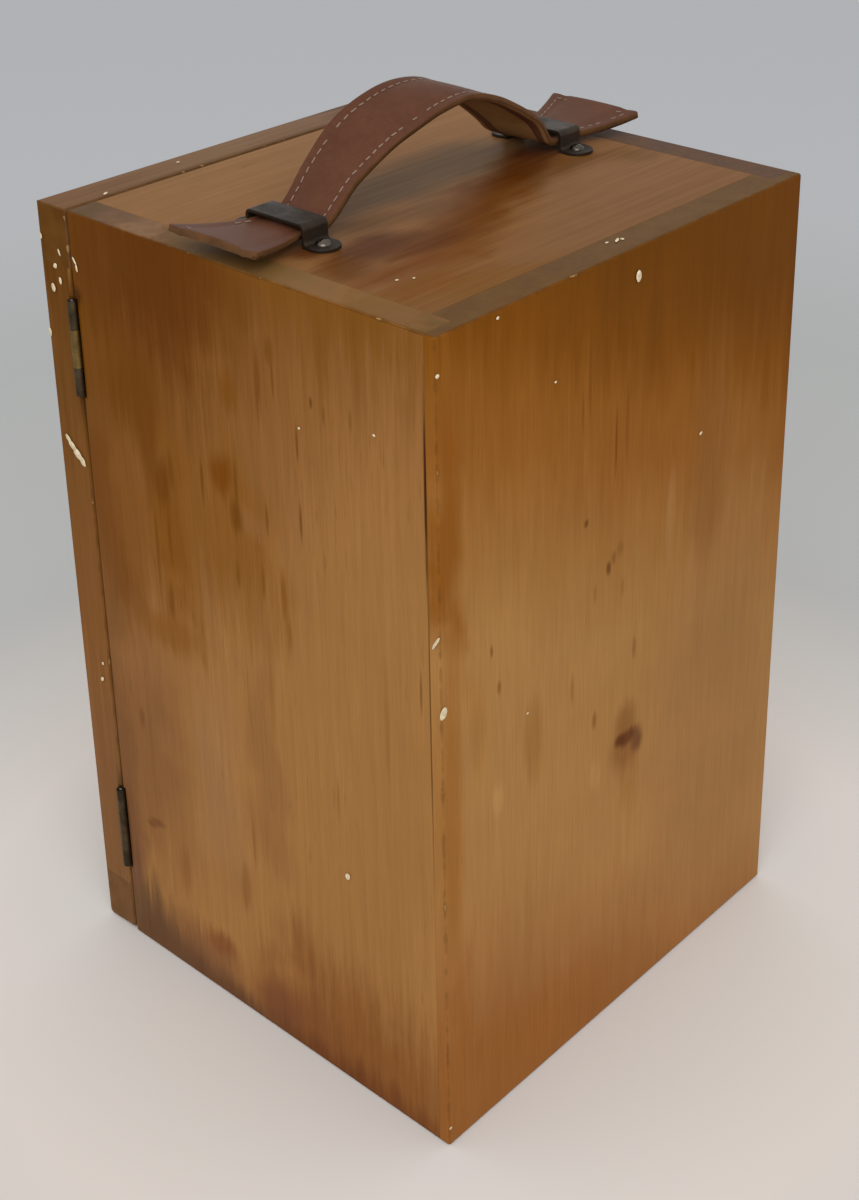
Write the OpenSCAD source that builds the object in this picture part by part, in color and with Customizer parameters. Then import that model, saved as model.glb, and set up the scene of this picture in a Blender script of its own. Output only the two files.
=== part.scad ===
// Wooden carrying case for a small microscope, in millimetres.
// The case stands on z = 0 with its base centred on the origin. +Z is up, the door faces -Y,
// the back is at +Y, the hinges are on the +X side and the latch hooks on the -X side.
// The sides run the full height, the top and floor are housed between them, and the back is
// rebated over their rear ends. The door is shut and the hooks hang free.

/* [Case] */
// Outer width of the case, across the hinge side and the latch side
case_w = 213; // [200:1:240]
// Outer height of the case
case_h = 340; // [330:1:380]
// Overall depth with the door shut
case_d = 207; // [200:1:230]
// Thickness of the two side panels
side_t = 13.5; // [13:0.5:15]
// Thickness of the back panel
back_t = 14; // [13:0.5:16]
// Thickness of the strip of the back that covers the rear ends of the sides
back_lip = 5; // [4:0.5:6]
// Thickness of the top and floor panels
deck_t = 12; // [12:0.5:14]

/* [Door] */
// Thickness of the door
door_t = 18; // [17:0.5:20]
// Gap between the shut door and the case
door_gap = 1; // [0.8:0.1:1.2]
// Height of the door's bottom edge above the table
door_lift = 1; // [0.5:0.5:2]
// Height of the cross-grained cleats at the top and bottom of the door
cleat_h = 24; // [20:1:30]
// Rounding of the door's front edges
door_round = 2; // [1.5:0.5:3]
// Rounding of the door's worn bottom front edge
door_foot_round = 4; // [3:0.5:5]

/* [Hinges] */
// Length of each butt hinge
hinge_len = 40; // [38:1:42]
// Distance of each hinge's middle from the top or the base of the case
hinge_inset = 56.5; // [50:0.5:70]
// Radius of the hinge barrel
barrel_r = 2; // [1.8:0.1:2.2]
// Radius of the hinge pin
pin_r = 1; // [0.9:0.1:1.1]
// Thickness of a hinge leaf
leaf_t = 1; // [0.9:0.1:1.1]
// How far the pin's axis stands out from the side of the case
hinge_out = 0.6; // [0.6:0.1:1]

/* [Handle] */
// Distance of each handle loop from the middle of the case
loop_x = 72.1; // [68:0.1:75]
// Width of a handle loop, along the case
loop_w = 12.2; // [11:0.1:13]
// Thickness of the loop's metal
loop_t = 1.4; // [1.2:0.1:1.6]
// Width of the strap
strap_w = 26; // [24:0.5:28]
// Thickness of the strap's outer strip
strap_outer_t = 2.8; // [2.5:0.1:3]
// Thickness of the strap's lining
strap_lining_t = 1.8; // [1.5:0.1:2]
// Height of the arch's middle line above where the strap lies flat
arch_rise = 32; // [28:1:36]
// Width of the flared end of the strap
strap_end_w = 46; // [40:1:50]

/* [Latch hooks] */
// Distance from a hook's pivot to the stud that it catches
hook_reach = 24; // [22:0.5:26]
// Height of the lower hook's pivot, and of the upper one below the top
hook_inset = 70; // [60:1:90]

/* [Fittings] */
// Clear width between the two foot rails
rail_gap = 116; // [100:1:124]
// Height of the underside of the eyepiece rack
rack_z = 200; // [190:1:230]
// Radius of the holes for eyepieces
eyepiece_r = 12; // [11:0.5:12.5]

/* [Hidden] */

$fn = 48;
slack = 0.05; // radial room round a screw in its hole
cut = 1; // how far a cutter runs past the face that it opens

half_w = case_w / 2;
inner_x = half_w - side_t;
door_front_y = -case_d / 2;
door_in_y = door_front_y + door_t;
case_front_y = door_in_y + door_gap;
rear_y = case_d / 2;
back_in_y = rear_y - back_t;
side_rear_y = rear_y - back_lip;
deck_under_z = case_h - deck_t;

// Tongues of the top and floor in their housings
tongue_t = 4;
tongue_l = 4;
tongue_stop = 8;

// Joint between the door's board and its cleats
door_tongue_t = 6;
door_tongue_l = 8;
door_tongue_stop = 10;
door_mid_y = door_front_y + door_t / 2;

// Hinges: the axis lies in the middle of the gap between door and case
hinge_x = half_w + hinge_out;
hinge_y = door_in_y + door_gap / 2;
hinge_zs = [hinge_inset, case_h - hinge_inset];
leaf_gap = 0.3;
leaf_w = 12.6;
leaf_root = 1.2;
mid_knuckle = 16;
knuckle_play = 0.12;
swing_room = 0.3;
recess_room = 0.2;
recess_over = 1;
notch_r = barrel_r + 0.6;
leaf_hole_x = -6.8;
leaf_hole_z = 12;
hinge_screw_r = 1.3;
hinge_screw_head_r = 2.2;
hinge_screw_l = 11;

// Handle loops and their screws
loop_in = strap_w / 2 + 0.8;
loop_out = loop_in + loop_t;
loop_in_h = 7.6;
loop_h = loop_in_h + loop_t;
loop_bend_r = 2.4;
loop_foot_y = 18.6;
loop_foot_r = 6.5;
loop_screw_r = 1.4;
loop_screw_l = 10;
dome_r = 3.1;
dome_h = 1.9;
slot_w = 0.8;
slot_depth = 0.7;

// Strap: middle line of its thickness, and the arcs of the arch
strap_t = strap_outer_t + strap_lining_t;
strap_mid_z = 3.5;
lining_lo = -strap_t / 2;
lining_hi = lining_lo + strap_lining_t;
outer_hi = strap_t / 2;
arch_foot_x = loop_x - loop_w / 2;
bend_r = 8;
arch_angle = 2 * atan(arch_rise / arch_foot_x);
crown_r = arch_foot_x / sin(arch_angle) - bend_r;
crown_z = strap_mid_z + arch_rise - crown_r;
strap_split_x = loop_x - 2;
flare_x = loop_x + loop_w / 2 + 0.4;
strap_end_x = half_w + 2;
strap_end_lift = 3.8;

// Latch hooks
hook_t = 1.5;
hook_play = 0.1;
washer_t = 1;
washer_r = 4.2;
pivot_r = 1.5;
pivot_bore_r = 1.58;
stud_y = door_mid_y;
pivot_y = stud_y + hook_reach;
hook_zs = [hook_inset, case_h - hook_inset];
peg_l = 12;
jaw_r = 1.8;

// Fittings inside the case
rail_w = 18;
rail_h = 16;
rail_y0 = -62;
rail_y1 = back_in_y - 16.5;
rail_under_w = 6;
rail_under_h = 9;
stop_w = 110;
stop_t = 14;
stop_h = 14;
fitting_screw_r = 1.75;
fitting_screw_head_r = 3;
rail_screw_l = 22;
rail_screw_x = rail_gap / 2 + rail_under_w + 6;
rail_screw_ys = [rail_y0 + 20, rail_y1 - 20];
stop_screw_x = 40;
stop_screw_l = 20;
block_w = 100;
block_t = 12;
block_z0 = deck_t + 2;
block_h = 16;
pad_t = 2;
block_screw_x = 35;
block_screw_l = 22;
rack_w = 40;
rack_t = 10;
rack_y0 = -25;
rack_y1 = 85;
eyepiece_pitch = 34;
bracket_t = 8;
bracket_drop = 28;
rack_screw_r = 1.4;
rack_screw_head_r = 2.6;
rack_screw_l = 20;
rack_screw_x = -inner_x + 15;
rack_bracket_ys = [rack_y0, rack_y1 - bracket_t];

pale_wood = "#a5773f";
side_wood = "#96652f";
top_wood = "#8b6440";
old_brass = "#7a6638";
dark_bronze = "#3f382f";
leather_brown = "#6b463c";
leather_tan = "#8a6440";
steel_grey = "#8c8a84";
felt_green = "#3f4a36";

// A box from its lowest corner to its highest
module block(low, high) {
    translate(low) cube(high - low);
}

// Countersunk wood screw: head face at z = 0, shank down to -len
module countersunk_screw(head_r, r, len) {
    difference() {
        union() {
            translate([0, 0, r - head_r]) cylinder(r1 = r, r2 = head_r, h = head_r - r);
            translate([0, 0, 2 * r - len]) cylinder(r = r, h = len - r - head_r);
            translate([0, 0, -len]) cylinder(r1 = 0.2, r2 = r, h = 2 * r);
        }
        block([-head_r, -slot_w / 2, -slot_depth], [head_r, slot_w / 2, cut]);
    }
}

// What a countersunk screw needs taken out of the wood or the leaf round it
module countersunk_hole(head_r, r, len) {
    translate([0, 0, r - head_r])
        cylinder(r1 = r + slack, r2 = head_r + slack, h = head_r - r);
    cylinder(r = head_r + slack, h = cut);
    translate([0, 0, -len - 0.2]) cylinder(r = r + slack, h = len);
}

// Low dome with a screwdriver slot, its flat face at z = 0
module slotted_dome(r, h) {
    ball_r = (r * r + h * h) / (2 * h);
    difference() {
        intersection() {
            translate([0, 0, h - ball_r]) sphere(r = ball_r);
            cylinder(r = r, h = h + cut);
        }
        block([-r, -slot_w / 2, h - slot_depth], [r, slot_w / 2, h + cut]);
    }
}

// Round-head wood screw: underside of the head at z = 0
module round_head_screw(r, len, neck = 0) {
    slotted_dome(dome_r, dome_h);
    translate([0, 0, -neck]) cylinder(r = r, h = neck + 0.01);
    translate([0, 0, 2 * r - len]) cylinder(r = r, h = len - 2 * r + 0.01);
    translate([0, 0, -len]) cylinder(r1 = 0.2, r2 = r, h = 2 * r);
}

// Places a child once at each hinge, with the pin's axis on the child's Z axis
module at_hinges(zs = hinge_zs) {
    for (z = zs) translate([hinge_x, hinge_y, z]) children();
}

// The two screw positions in a leaf. A case-side screw points along +Y, a door-side one along -Y
module at_leaf_screws(side) {
    for (z = [-leaf_hole_z, leaf_hole_z])
        translate([leaf_hole_x, side * leaf_gap / 2, z]) rotate([side * 90, 0, 0]) children();
}

module hinge_screw_holes(side) {
    at_leaf_screws(side)
        countersunk_hole(hinge_screw_head_r, hinge_screw_r, hinge_screw_l);
}

// Recess for one leaf and notch for the barrel, with the screw holes below it
module hinge_recess(side) {
    tall = hinge_len / 2 + recess_over;
    depth = leaf_gap / 2 + leaf_t + slack;
    block([-leaf_w - recess_room, side > 0 ? 0 : -depth, -tall],
        [hinge_out + cut, side > 0 ? depth : 0, tall]);
    translate([0, 0, -tall]) cylinder(r = notch_r, h = 2 * tall);
    hinge_screw_holes(side);
}

// side = 1 is the leaf on the case, with the two outer knuckles; side = -1 is the door's leaf
module hinge_leaf(side) {
    outer = (hinge_len - mid_knuckle) / 2 - knuckle_play;
    color(old_brass) difference() {
        union() {
            translate([-leaf_w, side > 0 ? leaf_gap / 2 : -leaf_gap / 2 - leaf_t, -hinge_len / 2])
                cube([leaf_w - leaf_root, leaf_t, hinge_len]);
            if (side > 0) {
                translate([0, 0, -hinge_len / 2]) cylinder(r = barrel_r, h = outer);
                translate([0, 0, hinge_len / 2 - outer]) cylinder(r = barrel_r, h = outer);
            } else {
                translate([0, 0, -mid_knuckle / 2]) cylinder(r = barrel_r, h = mid_knuckle);
            }
        }
        if (side > 0) {
            translate([0, 0, -mid_knuckle / 2 - knuckle_play])
                cylinder(r = barrel_r + swing_room, h = mid_knuckle + 2 * knuckle_play);
        } else {
            for (z = [-hinge_len / 2 - cut, mid_knuckle / 2])
                translate([0, 0, z]) cylinder(r = barrel_r + swing_room, h = outer + knuckle_play + cut);
        }
        translate([0, 0, -hinge_len]) cylinder(r = pin_r + (side > 0 ? 0.03 : slack), h = 2 * hinge_len);
        hinge_screw_holes(side);
    }
}

// Pin with its two slightly riveted ends
module hinge_pin() {
    rivet = 0.5;
    color(steel_grey) {
        translate([0, 0, -hinge_len / 2]) cylinder(r = pin_r, h = hinge_len);
        translate([0, 0, hinge_len / 2]) cylinder(r1 = pin_r, r2 = pin_r - rivet, h = rivet);
        translate([0, 0, -hinge_len / 2 - rivet]) cylinder(r1 = pin_r - rivet, r2 = pin_r, h = rivet);
    }
}

module hinge_screws(side) {
    color(old_brass) at_hinges() at_leaf_screws(side)
        countersunk_screw(hinge_screw_head_r, hinge_screw_r, hinge_screw_l);
}

// Housings in a side panel for the tongues of the top and the floor
module side_housings() {
    for (z = [0, deck_under_z])
        block([inner_x - cut, case_front_y + tongue_stop, z + (deck_t - tongue_t) / 2],
            [inner_x + tongue_l, back_in_y, z + (deck_t + tongue_t) / 2]);
}

module side_panel_hinge_side() {
    color(side_wood) difference() {
        block([inner_x, case_front_y, 0], [half_w, side_rear_y, case_h]);
        side_housings();
        at_hinges() hinge_recess(1);
    }
}

module side_panel_latch_side() {
    color(side_wood) difference() {
        block([-half_w, case_front_y, 0], [-inner_x, side_rear_y, case_h]);
        mirror([1, 0, 0]) side_housings();
        at_hook_pivots() cylinder(r = pivot_r + slack, h = 2 * (peg_l + 0.2), center = true);
    }
}

module back_panel() {
    color(pale_wood) difference() {
        union() {
            block([-inner_x, back_in_y, 0], [inner_x, side_rear_y, case_h]);
            block([-half_w, side_rear_y, 0], [half_w, rear_y, case_h]);
        }
        for (z = [0, deck_under_z])
            block([-inner_x, back_in_y - cut, z + (deck_t - tongue_t) / 2],
                [inner_x, back_in_y + tongue_l, z + (deck_t + tongue_t) / 2]);
    }
}

// Board between the sides, from z = 0 to deck_t, with its tongues
module deck() {
    block([-inner_x, case_front_y, 0], [inner_x, back_in_y, deck_t]);
    block([-inner_x - tongue_l, case_front_y + tongue_stop, (deck_t - tongue_t) / 2],
        [inner_x + tongue_l, back_in_y, (deck_t + tongue_t) / 2]);
    block([-inner_x, 0, (deck_t - tongue_t) / 2],
        [inner_x, back_in_y + tongue_l, (deck_t + tongue_t) / 2]);
}

module top_panel() {
    color(top_wood) difference() {
        translate([0, 0, deck_under_z]) deck();
        at_loop_screws() cylinder(r = loop_screw_r + slack, h = 2 * (loop_screw_l + 0.2), center = true);
    }
}

module floor_panel() {
    color(side_wood) difference() {
        deck();
        at_rail_screws() countersunk_hole(fitting_screw_head_r, fitting_screw_r, rail_screw_l);
        at_stop_screws() countersunk_hole(fitting_screw_head_r, fitting_screw_r, stop_screw_l);
    }
}

// Outline of the door seen from above, with its two front corners rounded
module door_plan() {
    translate([-half_w, door_front_y + door_round]) square([case_w, door_t - door_round]);
    translate([-half_w + door_round, door_front_y]) square([case_w - 2 * door_round, door_t]);
    for (x = [-1, 1])
        translate([x * (half_w - door_round), door_front_y + door_round]) circle(r = door_round);
}

// Outline of the door seen from the hinge side: y across, z up
module door_side_outline() {
    r = door_foot_round;
    translate([door_front_y + r, door_lift]) square([door_t - r, case_h - door_lift]);
    translate([door_front_y, door_lift + r]) square([door_t, case_h - door_lift - r - door_round]);
    translate([door_front_y + door_round, case_h - r]) square([door_t - door_round, r]);
    translate([door_front_y + r, door_lift + r]) circle(r = r);
    translate([door_front_y + door_round, case_h - door_round]) circle(r = door_round);
}

// Full-width piece of the door between two heights
module door_piece(z0, z1) {
    intersection() {
        translate([0, 0, z0]) linear_extrude(height = z1 - z0) door_plan();
        rotate([90, 0, 90]) linear_extrude(height = case_w + 2, center = true) door_side_outline();
    }
}

// Tongues that stand out of the board's ends into the cleats
module door_tongues() {
    x = half_w - door_tongue_stop;
    y = door_tongue_t / 2;
    board_z0 = door_lift + cleat_h;
    board_z1 = case_h - cleat_h;
    for (z = [[board_z0 - door_tongue_l, board_z0], [board_z1, board_z1 + door_tongue_l]])
        block([-x, door_mid_y - y, z[0]], [x, door_mid_y + y, z[1]]);
}

module door_board() {
    color(side_wood) difference() {
        union() {
            translate([0, 0, door_lift + cleat_h])
                linear_extrude(height = case_h - door_lift - 2 * cleat_h) door_plan();
            door_tongues();
        }
        at_hinges() hinge_recess(-1);
        at_hook_studs() cylinder(r = pivot_r + slack, h = 2 * (peg_l + 0.2), center = true);
        at_block_screws() countersunk_hole(fitting_screw_head_r, fitting_screw_r, block_screw_l);
    }
}

module door_top_cleat() {
    color(top_wood) difference() {
        door_piece(case_h - cleat_h, case_h);
        door_tongues();
    }
}

module door_bottom_cleat() {
    color(top_wood) difference() {
        door_piece(door_lift, door_lift + cleat_h);
        door_tongues();
        at_block_screws() countersunk_hole(fitting_screw_head_r, fitting_screw_r, block_screw_l);
    }
}

// Places a child at each of the four loop screws, head side up
module at_loop_screws() {
    for (x = [-1, 1], y = [-1, 1])
        translate([x * loop_x, y * loop_foot_y, case_h + loop_t]) children();
}

module loop_section() {
    r = loop_bend_r;
    ri = loop_bend_r - loop_t;
    difference() {
        union() {
            translate([-loop_out, 0]) square([2 * loop_out, loop_h - r]);
            translate([-loop_out + r, 0]) square([2 * (loop_out - r), loop_h]);
            for (s = [-1, 1]) translate([s * (loop_out - r), loop_h - r]) circle(r = r);
            translate([-loop_foot_y, 0]) square([2 * loop_foot_y, loop_t]);
        }
        translate([-loop_in, -cut]) square([2 * loop_in, loop_in_h - ri + cut]);
        translate([-loop_in + ri, -cut]) square([2 * (loop_in - ri), loop_in_h + cut]);
        for (s = [-1, 1]) translate([s * (loop_in - ri), loop_in_h - ri]) circle(r = ri);
    }
}

// Flat metal loop over the strap, with a round foot at each end
module handle_loop(side) {
    color(dark_bronze) translate([side * loop_x, 0, case_h]) difference() {
        union() {
            rotate([90, 0, 90]) linear_extrude(height = loop_w, center = true) loop_section();
            for (y = [-1, 1]) difference() {
                translate([0, y * loop_foot_y, 0]) cylinder(r = loop_foot_r, h = loop_t);
                block([-loop_w, -loop_in, -cut], [loop_w, loop_in, loop_h]);
            }
        }
        for (y = [-1, 1])
            translate([0, y * loop_foot_y, -cut]) cylinder(r = loop_screw_r + slack, h = loop_t + 2 * cut);
    }
}

module handle_loop_screws() {
    color(steel_grey) at_loop_screws() round_head_screw(loop_screw_r, loop_screw_l);
}

// Wedge of a disc between two directions, counted from straight up, towards +X
module sector(r, a0, a1) {
    polygon([[0, 0], for (i = [0:3]) let (a = a0 + (a1 - a0) * i / 3) 2 * r * [sin(a), cos(a)]]);
}

// Band of the arch between two heights in its thickness, as x across and z up
module arch_section(lo, hi) {
    translate([0, crown_z]) intersection() {
        difference() {
            circle(r = crown_r + hi, $fn = 128);
            circle(r = crown_r + lo, $fn = 128);
        }
        sector(crown_r + hi, -arch_angle, arch_angle);
    }
    for (s = [0, 1]) mirror([s, 0]) {
        translate([arch_foot_x, strap_mid_z + bend_r]) intersection() {
            difference() {
                circle(r = bend_r - lo);
                circle(r = bend_r - hi);
            }
            sector(bend_r - lo, 180, 180 + arch_angle);
        }
        translate([arch_foot_x, strap_mid_z + lo]) square([strap_split_x - arch_foot_x, hi - lo]);
    }
}

module strap_arch(lo, hi) {
    translate([0, 0, case_h]) rotate([90, 0, 0])
        linear_extrude(height = strap_w, center = true) arch_section(lo, hi);
}

// Seen from above, the strap is straight in the loop and flares outside it
module strap_end_plan() {
    w = strap_w / 2;
    e = strap_end_w / 2;
    polygon([[strap_split_x, -w], [flare_x, -w], [strap_end_x, -e],
        [strap_end_x, e], [flare_x, w], [strap_split_x, w]]);
}

// Band of the strap's end between two heights in its thickness, as x across and z up
module strap_end_section(lo, hi) {
    z = strap_mid_z;
    lift = strap_end_lift;
    polygon([[strap_split_x, z + lo], [flare_x, z + lo], [strap_end_x, z + lift + lo],
        [strap_end_x, z + lift + hi], [flare_x, z + hi], [strap_split_x, z + hi]]);
}

module strap_end(lo, hi) {
    translate([0, 0, case_h]) intersection() {
        linear_extrude(height = 2 * loop_h) strap_end_plan();
        rotate([90, 0, 0]) linear_extrude(height = 2 * strap_end_w, center = true)
            strap_end_section(lo, hi);
    }
}

// Places a child on the latch side of the case, its Z axis pointing out of the wood
module at_hook_pivots(zs = hook_zs) {
    for (z = zs) translate([-half_w, pivot_y, z]) rotate([0, -90, 0]) children();
}

module at_hook_studs() {
    for (z = hook_zs) translate([-half_w, stud_y, z]) rotate([0, -90, 0]) children();
}

// Hook seen flat: pivot at the origin, arm along +X, jaw open towards -Y
module hook_outline() {
    eye_r = 4.4;
    head_r = 4.8;
    arm_w = 4.6;
    tab_r = 2.2;
    difference() {
        union() {
            circle(r = eye_r);
            translate([0, -arm_w / 2 + 0.6]) square([hook_reach, arm_w]);
            translate([hook_reach, 0.6]) circle(r = head_r);
            translate([hook_reach + head_r, 3]) circle(r = tab_r);
        }
        circle(r = pivot_bore_r);
        translate([hook_reach, 0]) {
            circle(r = jaw_r);
            polygon([[-jaw_r, 0], [jaw_r, 0], [jaw_r + 0.5, -6], [-jaw_r - 1, -6]]);
        }
    }
}

// The hook hangs from its pivot, so its arm points down and its jaw faces the back
module latch_hook(z) {
    color(old_brass) translate([-half_w - washer_t - hook_play, pivot_y, z])
        rotate(a = 180, v = [1, 0, -1]) linear_extrude(height = hook_t) hook_outline();
}

module hook_washers() {
    color(old_brass) at_hook_pivots() difference() {
        cylinder(r = washer_r, h = washer_t);
        translate([0, 0, -cut]) cylinder(r = pivot_r + slack, h = washer_t + 2 * cut);
    }
}

module hook_pivot_screws() {
    neck = washer_t + hook_t + 2 * hook_play;
    color(old_brass) at_hook_pivots() translate([0, 0, neck])
        round_head_screw(pivot_r, peg_l + neck, neck);
}

module hook_studs() {
    neck = washer_t + hook_t + 3 * hook_play;
    color(old_brass) at_hook_studs() translate([0, 0, neck])
        round_head_screw(pivot_r, peg_l + neck, neck);
}

module at_rail_screws() {
    for (x = [-1, 1], y = rail_screw_ys)
        translate([x * rail_screw_x, y, deck_t + rail_h]) children();
}

module at_stop_screws() {
    for (x = [-1, 1])
        translate([x * stop_screw_x, back_in_y - stop_t / 2, deck_t + stop_h]) children();
}

// Rail with an undercut on its inner side that the foot of the microscope slides into
module foot_rail(side) {
    x0 = rail_gap / 2;
    color(top_wood) difference() {
        mirror([side > 0 ? 0 : 1, 0, 0]) difference() {
            block([x0, rail_y0, deck_t], [x0 + rail_w, rail_y1, deck_t + rail_h]);
            block([x0 - cut, rail_y0 - cut, deck_t - cut],
                [x0 + rail_under_w, rail_y1 + cut, deck_t + rail_under_h]);
        }
        at_rail_screws() countersunk_hole(fitting_screw_head_r, fitting_screw_r, rail_screw_l);
    }
}

module foot_stop() {
    color(top_wood) difference() {
        block([-stop_w / 2, back_in_y - stop_t, deck_t], [stop_w / 2, back_in_y, deck_t + stop_h]);
        at_stop_screws() countersunk_hole(fitting_screw_head_r, fitting_screw_r, stop_screw_l);
    }
}

module fitting_screws() {
    color(old_brass) {
        at_rail_screws() countersunk_screw(fitting_screw_head_r, fitting_screw_r, rail_screw_l);
        at_stop_screws() countersunk_screw(fitting_screw_head_r, fitting_screw_r, stop_screw_l);
    }
}

module at_block_screws() {
    for (x = [-1, 1])
        translate([x * block_screw_x, door_in_y + block_t, block_z0 + block_h / 2])
            rotate([-90, 0, 0]) children();
}

// Block on the door that keeps the foot between the rails while the door is shut
module door_block() {
    color(top_wood) difference() {
        block([-block_w / 2, door_in_y, block_z0],
            [block_w / 2, door_in_y + block_t, block_z0 + block_h]);
        at_block_screws() countersunk_hole(fitting_screw_head_r, fitting_screw_r, block_screw_l);
    }
}

// Felt over the face of the block, and over the heads of its screws
module door_block_pad() {
    y = door_in_y + block_t;
    color(felt_green) block([-block_w / 2, y, block_z0], [block_w / 2, y + pad_t, block_z0 + block_h]);
}

module door_block_screws() {
    color(old_brass) at_block_screws()
        countersunk_screw(fitting_screw_head_r, fitting_screw_r, block_screw_l);
}

module at_rack_screws() {
    for (y = rack_bracket_ys)
        translate([rack_screw_x, y + bracket_t / 2, rack_z + rack_t]) children();
}

module eyepiece_rack() {
    mid_y = (rack_y0 + rack_y1) / 2;
    color(top_wood) difference() {
        block([-inner_x, rack_y0, rack_z], [-inner_x + rack_w, rack_y1, rack_z + rack_t]);
        for (i = [-1:1]) translate([-inner_x + rack_w / 2, mid_y + i * eyepiece_pitch, rack_z - cut])
            cylinder(r = eyepiece_r, h = rack_t + 2 * cut);
        at_rack_screws() countersunk_hole(rack_screw_head_r, rack_screw_r, rack_screw_l);
    }
}

// Triangular bracket under one end of the rack, glued to the side panel
module rack_bracket(y) {
    reach = rack_w - 6;
    color(top_wood) difference() {
        translate([-inner_x, y + bracket_t, rack_z]) rotate([90, 0, 0])
            linear_extrude(height = bracket_t)
                polygon([[0, 0], [reach, 0], [reach, -5], [8, -bracket_drop], [0, -bracket_drop]]);
        at_rack_screws() countersunk_hole(rack_screw_head_r, rack_screw_r, rack_screw_l);
    }
}

module rack_screws() {
    color(old_brass) at_rack_screws()
        countersunk_screw(rack_screw_head_r, rack_screw_r, rack_screw_l);
}

side_panel_hinge_side();
side_panel_latch_side();
back_panel();
top_panel();
floor_panel();
door_board();
door_top_cleat();
door_bottom_cleat();
at_hinges([hinge_zs[1]]) hinge_leaf(1);  // upper_hinge_case_leaf
at_hinges([hinge_zs[1]]) hinge_leaf(-1);  // upper_hinge_door_leaf
at_hinges([hinge_zs[1]]) hinge_pin();  // upper_hinge_pin
at_hinges([hinge_zs[0]]) hinge_leaf(1);  // lower_hinge_case_leaf
at_hinges([hinge_zs[0]]) hinge_leaf(-1);  // lower_hinge_door_leaf
at_hinges([hinge_zs[0]]) hinge_pin();  // lower_hinge_pin
hinge_screws(1);  // hinge_screws_case
hinge_screws(-1);  // hinge_screws_door
handle_loop(1);  // handle_loop_hinge_side
handle_loop(-1);  // handle_loop_latch_side
handle_loop_screws();
color(leather_brown) strap_arch(lining_hi, outer_hi);  // strap_arch_outer
color(leather_tan) strap_arch(lining_lo, lining_hi);  // strap_arch_lining
color(leather_brown) strap_end(lining_hi, outer_hi);  // strap_end_outer_hinge_side
color(leather_tan) strap_end(lining_lo, lining_hi);  // strap_end_lining_hinge_side
color(leather_brown) mirror([1, 0, 0]) strap_end(lining_hi, outer_hi);  // strap_end_outer_latch_side
color(leather_tan) mirror([1, 0, 0]) strap_end(lining_lo, lining_hi);  // strap_end_lining_latch_side
latch_hook(hook_zs[1]);  // upper_hook
latch_hook(hook_zs[0]);  // lower_hook
hook_washers();
hook_pivot_screws();
hook_studs();
foot_rail(1);  // foot_rail_hinge_side
foot_rail(-1);  // foot_rail_latch_side
foot_stop();
fitting_screws();
door_block();
door_block_pad();
door_block_screws();
eyepiece_rack();
rack_bracket(rack_bracket_ys[0]);  // rack_bracket_front
rack_bracket(rack_bracket_ys[1]);  // rack_bracket_rear
rack_screws();
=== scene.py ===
# %% [markdown]
# # A wooden carrying case for a microscope
# The case is a tall varnished box: two sides, a back, a top and a floor, and a door on two brass
# hinges. A stitched leather strap arches over the top and runs through two flat metal loops.
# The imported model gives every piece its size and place. Here each piece gets what a plain solid
# lacks: softened arrises, grain, worn varnish, stitches, and the spots of paint of a used case.

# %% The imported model
import bisect
import math
import random

import bmesh
import bpy
from mathutils import Matrix, Vector, noise


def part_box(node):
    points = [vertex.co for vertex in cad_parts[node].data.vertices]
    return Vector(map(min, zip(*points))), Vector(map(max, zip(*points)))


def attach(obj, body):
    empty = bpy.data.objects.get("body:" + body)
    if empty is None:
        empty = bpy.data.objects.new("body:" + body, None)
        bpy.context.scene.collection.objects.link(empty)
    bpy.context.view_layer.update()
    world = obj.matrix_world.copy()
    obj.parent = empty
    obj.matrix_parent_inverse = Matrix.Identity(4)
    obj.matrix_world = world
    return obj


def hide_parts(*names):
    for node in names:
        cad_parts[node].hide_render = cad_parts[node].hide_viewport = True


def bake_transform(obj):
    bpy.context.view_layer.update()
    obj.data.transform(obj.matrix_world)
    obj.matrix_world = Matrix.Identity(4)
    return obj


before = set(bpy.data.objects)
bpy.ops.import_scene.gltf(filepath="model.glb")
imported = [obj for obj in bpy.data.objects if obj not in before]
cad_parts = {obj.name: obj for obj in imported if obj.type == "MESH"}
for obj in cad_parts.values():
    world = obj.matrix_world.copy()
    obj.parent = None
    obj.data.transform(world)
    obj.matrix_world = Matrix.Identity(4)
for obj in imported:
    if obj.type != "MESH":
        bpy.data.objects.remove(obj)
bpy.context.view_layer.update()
MM = 0.001

# %% [markdown]
# ## The camera
# The photographer stood close to one corner and looked down on it, so the uprights converge
# towards the table. A camera found by matching the case's corners gives the same view: a place, a
# direction and a lens. The small shift puts the case where it stands in the frame, so that the
# camera doesn't have to tilt for it.

# %% Camera
camera_data = bpy.data.cameras.new("camera")
camera = bpy.data.objects.new("camera", camera_data)
bpy.context.scene.collection.objects.link(camera)
camera.location = (0.51315, 0.48055, 0.57807)
camera.rotation_euler = [math.radians(a) for a in (66.480, 0.737, 131.869)]
camera_data.sensor_fit = "AUTO"
camera_data.sensor_width = 36
camera_data.lens = 57.42
camera_data.shift_x = -0.0209
camera_data.shift_y = -0.2111
bpy.context.scene.camera = camera
print("camera at", [round(v, 3) for v in camera.location], "lens", camera_data.lens)

# %% [markdown]
# ## Colours and nodes
# A colour is written as the hex value that a screen shows. Blender counts light, so one function
# turns the value to linear. Every material is made with one other function, which adds a node,
# sets it and links it. A pattern is written in millimetres of the object, and so keeps its size
# on every piece.

# %% Helpers for materials
def colour(code):
    """A screen colour such as #8a5a2b as linear red, green and blue, with full alpha."""
    parts = [int(code[i:i + 2], 16) / 255 for i in (1, 3, 5)]
    return tuple(c / 12.92 if c <= 0.04045 else ((c + 0.055) / 1.055) ** 2.4 for c in parts) + (1,)


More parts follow.
